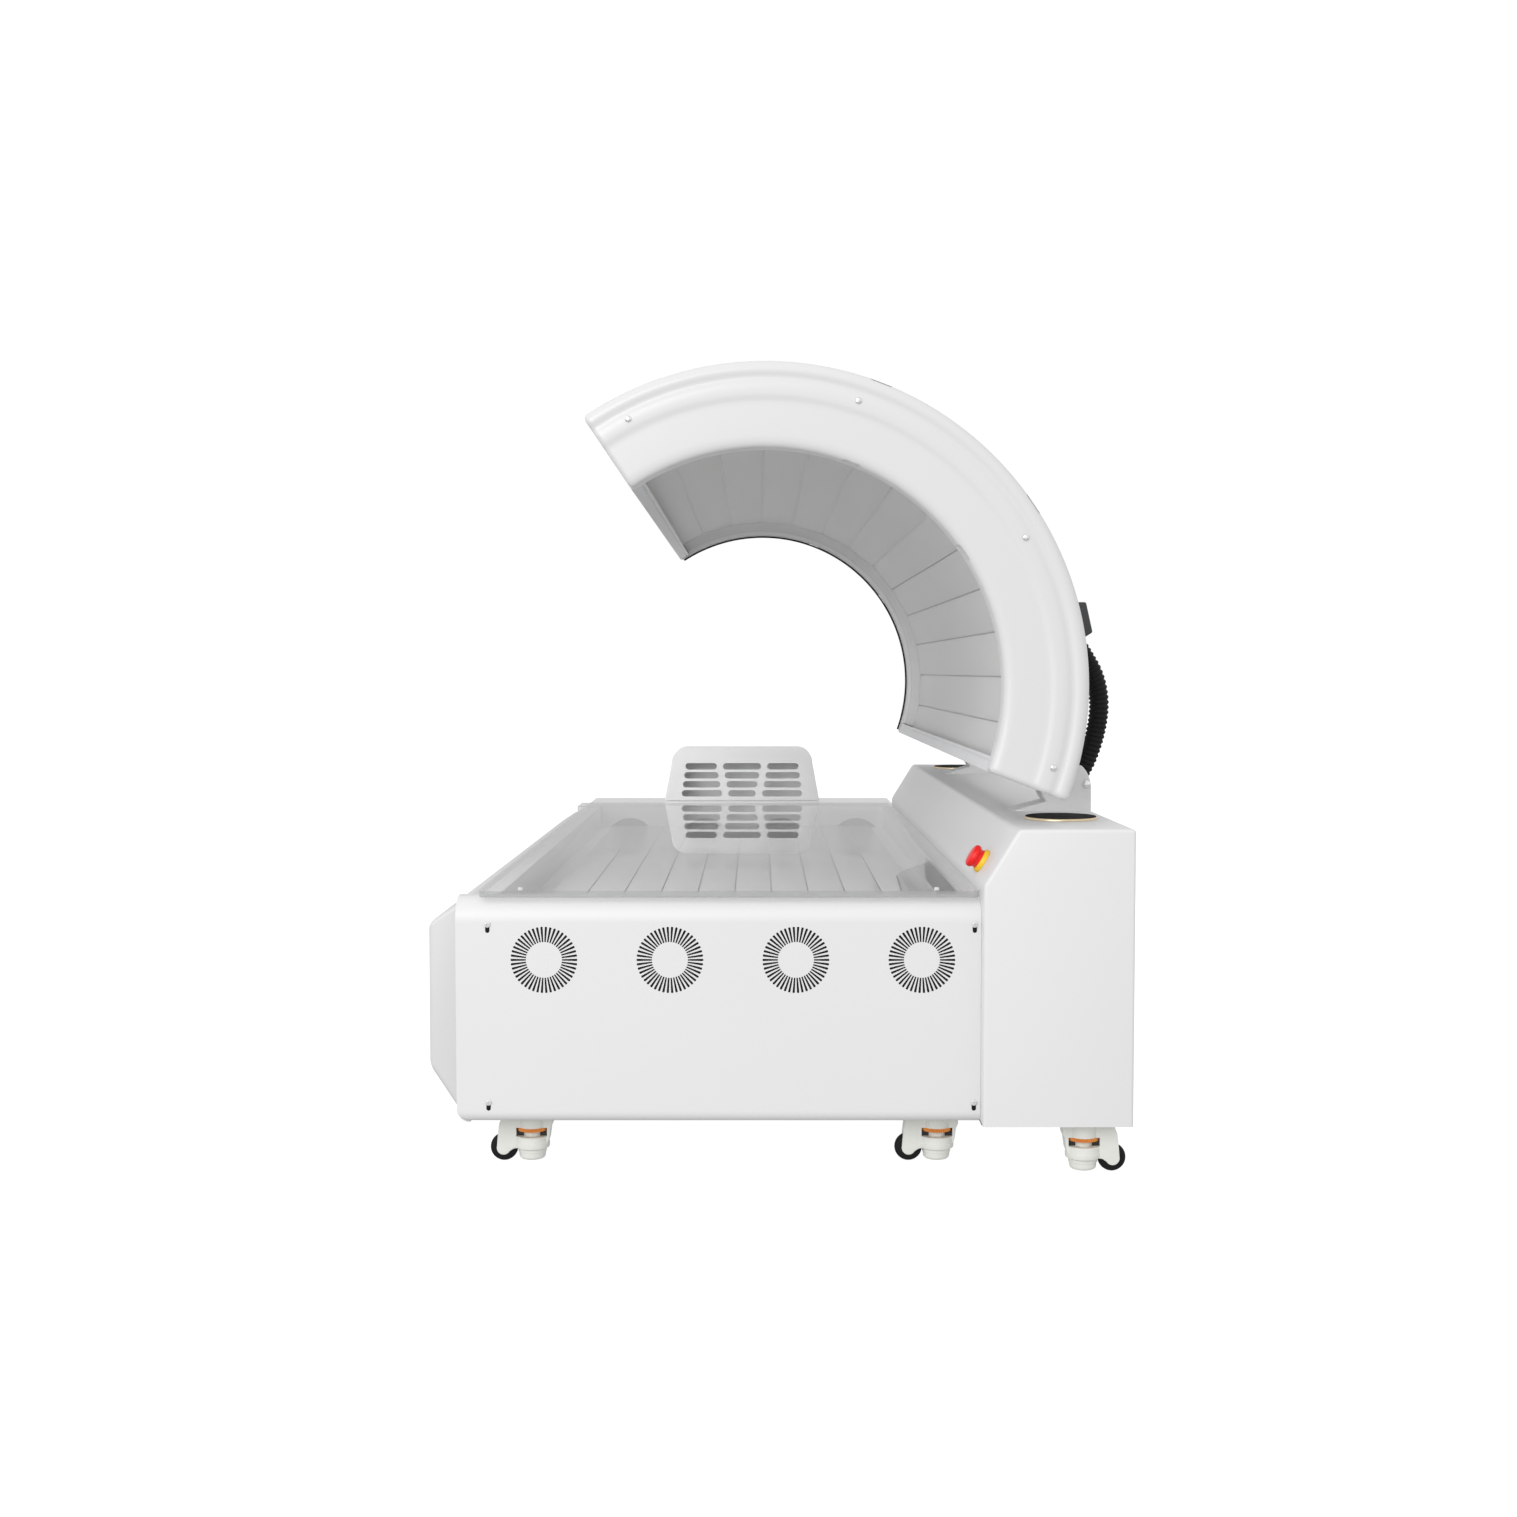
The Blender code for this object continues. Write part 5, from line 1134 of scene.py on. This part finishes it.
# levelling castors: a nylon fork, a rubber wheel, a foot and its copper dial, made once and copied
castor = {"top": 0.0867, "low": 0.0232, "half": 0.0145, "body": 0.036, "wheelAt": 0.048,
          "wheelHigh": 0.024, "lobe": 0.0118, "collar": 0.0295, "collarTop": 0.0442,
          "neck": 0.0245, "neckLow": 0.050, "window": 0.0262, "windowTop": 0.0590, "bore": 0.0161,
          "boreTop": 0.075, "stem": 0.0155, "stemTop": 0.068, "wheel": 0.0236, "wheelWide": 0.017,
          "room": 0.0012, "pad": 0.0240, "padFoot": 0.0224, "padBase": 0.0042, "padWaist": 0.0160,
          "padHigh": 0.0228, "shadeFillHalf": 0.008, "dial": 0.0255, "dialIn": 0.0160,
          "dialLow": 0.0532, "dialHigh": 0.0594, "knurls": 40, "knurlDeep": 0.0014}


def castorFork():
    c, half, top, low = castor, castor["half"], castor["top"], castor["low"]
    left = [(-c["body"], top), (-c["body"], 0.066), (-0.0325, 0.058), (-0.030, 0.040),
            (-0.024, low), (0.030, low)]
    right = [(0.0575, 0.050), (0.0555, 0.066), (0.0500, 0.079), (0.0440, top)]
    lobe = arcPoints((c["wheelAt"], c["wheelHigh"]), c["lobe"], -150, 12, 18)
    fork = soften(wallPrism("castorFork", left + lobe + right, -half, 2 * half), 0.002, 3, 25)
    r, high = c["collar"], c["collarTop"]
    collar = [(0, low), (r - 0.003, low), (r - 0.0008, low + 0.001), (r, low + 0.003),
              (r, low + 0.009), (r - 0.0005, low + 0.0096), (r - 0.0005, high - 0.0016),
              (r - 0.0018, high), (0, high)]
    carve(fork, turned("castorCollar", collar), 'UNION')
    carve(fork, plug("castorNeck", c["neck"], c["neckLow"], top), 'UNION')
    carve(fork, boxPiece("castorWindow", (-c["window"], -0.05, high),
                         (c["window"], 0.05, c["windowTop"])))
    carve(fork, plug("castorBore", c["bore"], -fit["past"], c["boreTop"], 32))
    half = c["wheelWide"] / 2 + c["room"]
    middle = Vector((c["wheelAt"], 0, c["wheelHigh"]))
    return carve(fork, lyingDisc("castorWell", c["wheel"] + c["room"], middle, -half, half))


def castorShadeFill():
    # painted shade: a black block fills the window under the dial so that it reads dark, with round room for the
    # stem
    w, half = castor["window"] - 0.0006, castor["shadeFillHalf"]
    block = boxPiece("castorShadeFill", (-w, -half, castor["collarTop"] + 0.0001),
                     (w, half, castor["dialLow"] - 0.0002))
    return carve(block, plug("shadeFillHole", castor["bore"], 0, castor["top"]))


def castorWheel():
    r, half = castor["wheel"], castor["wheelWide"] / 2
    side = [(0, half - 0.001), (0.008, half - 0.001), (0.009, half), (0.016, half),
            (0.0185, half - 0.0004), (0.0218, half - 0.0022), (0.0232, half - 0.0048), (r, 0.001)]
    profile = [(radius, -z) for radius, z in side] + side[::-1]
    place = Matrix.Translation((castor["wheelAt"], 0, castor["wheelHigh"]))
    return turned("castorTyre", profile, place=place @ Matrix.Rotation(math.pi / 2, 4, 'X'))


def castorFoot():
    # screwed up a little, so that the wheels carry the bed as in the photo
    r, f, b, s = castor["pad"], castor["padFoot"], castor["padBase"], castor["stem"]
    w, h, top = castor["padWaist"], castor["padHigh"], castor["stemTop"]
    return turned("castorFoot", [
        (0, b), (f - 0.006, b), (f - 0.003, b + 0.0010), (f - 0.0008, b + 0.0030), (f, b + 0.0056),
        (r - 0.0010, w), (r - 0.0002, w + 0.0004), (r, w + 0.0008), (r, h - 0.0012),
        (r - 0.0012, h), (s, h), (s, top), (0, top)])


def castorDial():
    low, high, knurls = castor["dialLow"], castor["dialHigh"], castor["knurls"]
    outline = []
    for step in range(2 * knurls):
        turn = math.pi * step / knurls
        reach = castor["dial"] - (0 if step % 2 else castor["knurlDeep"])
        outline.append((reach * math.cos(turn), reach * math.sin(turn), low))
    dial = drawPrism("castorDial", outline, (0, 0, high - low))
    return carve(dial, plug("dialHole", castor["dialIn"], 0, castor["top"], 32))


def makeCastors():
    # model, body that carries it, finish, slot and the CAD node that it replaces
    kinds = {"Fork": (castorFork(), "fork_", castorNylon, "castor_nylon", "castor_fork_"),
             # painted shade: the dark block in the fork's window
             "ShadeFill": (castorShadeFill(), "fork_", blackAbs, "black_plastic", None),
             "Wheel": (castorWheel(), "wheel_", blackRubber, "black_rubber", "castor_wheel_"),
             "Foot": (castorFoot(), "foot_", castorNylon, "foot_nylon", "levelling_foot_"),
             "Dial": (castorDial(), "fork_", copperDial, "zinc_steel", None)}
    for end in ("near", "far"):
        for row in ("left", "right", "column"):
            spot = middleOf(f"levelling_foot_{end}_{row}")
            side = middleOf(f"castor_wheel_{end}_{row}").x - spot.x
            turn = Matrix.Rotation(0 if side > 0 else math.pi, 4, 'Z')
            place = Matrix.Translation((spot.x, spot.y, 0)) @ turn
            for kind, (model, body, finish, slotName, node) in kinds.items():
                piece = copyOf(model, end + row.capitalize() + "Castor" + kind, place)
                hidden = [f"{node}{end}_{row}"] if node else []
                settle(piece, f"{body}{end}_{row}", finish, slotName, *hidden)
    for model, *others in kinds.values():
        bpy.data.objects.remove(model, do_unlink=True)


makeCastors()
print("castors made")


# bed: the tray, its LED boards, a grey plate on the tray's wall, the clear sheet with its studs
bed = {"wall": 0.004, "flangeLeft": 0.028, "flangeRight": 0.0252, "archHalf": 0.0535,
       "archRise": 0.0252, "shadeBack": 0.0012, "shadeBackGap": 0.0004, "boards": 10, "seam": 0.0024,
       "sheetCorner": 0.014, "studX": (-0.452, 0.237), "studIn": 0.009, "stud": 0.0042,
       "studRise": 0.0048, "plateY": (-0.95, -0.36), "plateZ": (0.412, 0.455), "plate": 0.0022}


def makeTray():
    low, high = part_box("bed_led_tray")
    wall = bed["wall"]
    left, right = low.x + bed["flangeLeft"], high.x - bed["flangeRight"]
    tray = boxPiece("bedTray", (left - wall, low.y, low.z), (right + wall, high.y, high.z))
    carve(tray, boxPiece("trayFlange", (low.x, low.y + 2 * wall, high.z - wall),
                         (high.x, high.y - 2 * wall, high.z)), 'UNION')
    carve(tray, boxPiece("trayRoom", (left, low.y + wall, low.z + wall),
                         (right, high.y - wall, high.z + wall)))
    # openings for the fans' air are segments of a circle; painted shade: solid black plates close them from
    # behind, so they read dark
    half, rise = bed["archHalf"], bed["archRise"]
    radius = (half ** 2 + rise ** 2) / (2 * rise)
    spread = math.degrees(math.asin(half / radius))
    sill = low.z + wall + fit["play"]
    arches = []
    for spot in fanSpots("near"):
        for y in (low.y - wall, high.y - 2 * wall):
            outline = arcPoints((0, rise - radius), radius, 90 - spread, 90 + spread, 24)
            arches.append(wallPrism("trayArch", outline, y, 3 * wall, spot.x, sill))
    carve(tray, joined("trayArches", arches))
    settle(soften(tray, 0.0008), "base", trayWhite, "tray_white", "bed_led_tray")
    # painted shade: black plates just behind the arches, across the whole tray
    thick, gap = bed["shadeBack"], bed["shadeBackGap"]
    shadeBacks = [boxPiece("archShadeBack", (left, y, sill), (right, y + thick, sill + rise + wall))
              for y in (low.y - gap - thick, high.y + gap)]
    settle(joined("archShadeBacks", shadeBacks), "base", blackAbs, "black_plastic")
    (y1, y2), (z1, z2), face = bed["plateY"], bed["plateZ"], right - 0.0002
    plate = boxPiece("trayWallPlate", (face - bed["plate"], y1, z1), (face, y2, z2))
    settle(soften(plate, 0.0008), "base", greyPlate, "dark_grey_plastic")


def makeBoards():
    low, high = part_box("bed_led_boards")
    pitch, half = (high.x - low.x) / bed["boards"], bed["seam"] / 2
    board = boxPiece("bedBoards", (low.x + half, low.y, low.z),
                     (low.x + pitch - half, high.y, high.z))
    soften(board, 0.0012)
    useModifier(board, 'ARRAY', count=bed["boards"], use_relative_offset=False,
                use_constant_offset=True, constant_offset_displace=(pitch, 0, 0))
    settle(board, "base", boardWhite, "led_board", "bed_led_boards")


def makeSheet():
    low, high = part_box("bed_acrylic_sheet")
    r = bed["sheetCorner"]
    outline = []
    for x, y, start in ((low.x + r, low.y + r, 180), (high.x - r, low.y + r, 270),
                        (high.x - r, high.y - r, 0), (low.x + r, high.y - r, 90)):
        outline += [(u, v, low.z) for u, v in arcPoints((x, y), r, start, start + 90, 10)]
    sheet = soften(drawPrism("acrylicSheet", outline, (0, 0, high.z - low.z)), 0.0008, 2, 50)
    settle(sheet, "base", clearSheet, "clear_acrylic", "bed_acrylic_sheet", angle=5)
    # the top mirrors, the near edge is milky, the rest is clear
    sheet.data.materials.append(sawnEdge)
    sheet.data.materials.append(clearCover)
    for face in sheet.data.polygons:
        face.material_index = 0 if face.normal.z > 0.9 else 1 if face.normal.y < -0.3 else 2
    s, rise = bed["stud"], bed["studRise"]
    profile = [(0, 0), (s, 0), (s, rise - 0.001), (s - 0.0008, rise - 0.0002), (0, rise)]
    studs = [turned("sheetStud", profile, 28,
                    Matrix.Translation((x, low.y + bed["studIn"], high.z + 0.0001)))
             for x in bed["studX"]]
    settle(joined("sheetStuds", studs), "base", mouldedWhite, "moulded_white")


makeTray()
makeBoards()
makeSheet()
print("bed made")


# plain pale floor and soft studio light: a dome brightest in front, darker overhead and below
studio = {"floor": 60.0, "floorLow": -0.001, "floorGlow": 0.9, "backdrop": 29.4, "front": 1.0,
          "behind": 0.88, "overhead": 0.92, "below": 0.55, "horizon": (-0.25, 0.02), "key": 145.0,
          "keyPlace": (-2.3, -5.6, 2.7), "keySize": 3.5, "keyAim": (0, 0, 0.6)}
# grey flags behind the bed, seen only in mirror images: one for the canopy, a low one for the sheet
flags = {"studioFlag": {"place": (0, 8.0, 0), "size": (12.0, 12.0), "glow": 0.66},
         "studioLowFlag": {"place": (-0.15, 1.3, 0.62), "size": (1.6, 0.36), "glow": 0.56}}


def stagePiece(name, paint, glow, ways, tone="000000", roughness=1.0):
    # the object made last glows evenly, and rays of these kinds don't see it
    piece = bpy.context.object
    piece.name = name
    piece.data.materials.append(newFinish(paint, {
        "Base Color": linear(tone), "Roughness": roughness, "Emission Color": linear("ffffff"),
        "Emission Strength": glow})[0])
    for way in ways:
        setattr(piece, "visible_" + way, False)


bpy.ops.mesh.primitive_plane_add(size=studio["floor"], location=(0, 0, studio["floorLow"]))
stagePiece("studioFloor", "studioFloorPaint", studio["floorGlow"], ("diffuse", "glossy"),
           "8c8c8c", 0.9)
bpy.ops.mesh.primitive_cylinder_add(vertices=64, radius=studio["backdrop"], depth=studio["floor"])
stagePiece("studioBackdrop", "studioBackdropPaint", 1.0, ("diffuse", "glossy", "shadow"))
for name, look in flags.items():
    bpy.ops.mesh.primitive_plane_add(size=1, location=look["place"],
                                     rotation=(math.radians(90), 0, 0))
    bpy.context.object.scale = (*look["size"], 1)
    stagePiece(name, name + "Cloth", look["glow"], ("camera", "diffuse", "shadow", "transmission"))

bpy.ops.object.light_add(type='AREA', location=studio["keyPlace"])
key = bpy.context.object
key.name = "studioKey"
key.data.size = studio["keySize"]
key.data.energy = studio["key"]
key.visible_camera = False
aim = Vector(studio["keyAim"]) - key.location
key.rotation_euler = aim.to_track_quat('-Z', 'Y').to_euler()

world = bpy.data.worlds.new("softDome")
bpy.context.scene.world = world
world.use_nodes = True
domeTree = world.node_tree
dome = domeTree.nodes["Background"]
dome.inputs['Color'].default_value = (1, 1, 1, 1)
heading = addNode(domeTree, 'ShaderNodeTexCoord', {}, {}).outputs['Generated']
split = addNode(domeTree, 'ShaderNodeSeparateXYZ', {}, {"Vector": heading}).outputs
strength = mapRange(domeTree, split['Y'], studio["front"], studio["behind"], low=-1.0)
low, high = studio["horizon"]
for share in (mapRange(domeTree, split['Z'], 1.0, studio["overhead"]),
              mapRange(domeTree, split['Z'], studio["below"], 1.0, low, high)):
    strength = addNode(domeTree, 'ShaderNodeMath', {"operation": 'MULTIPLY'},
                       {0: strength, 1: share}).outputs[0]
domeTree.links.new(strength, dome.inputs['Strength'])

bpy.data.objects.remove(screwModel, do_unlink=True)
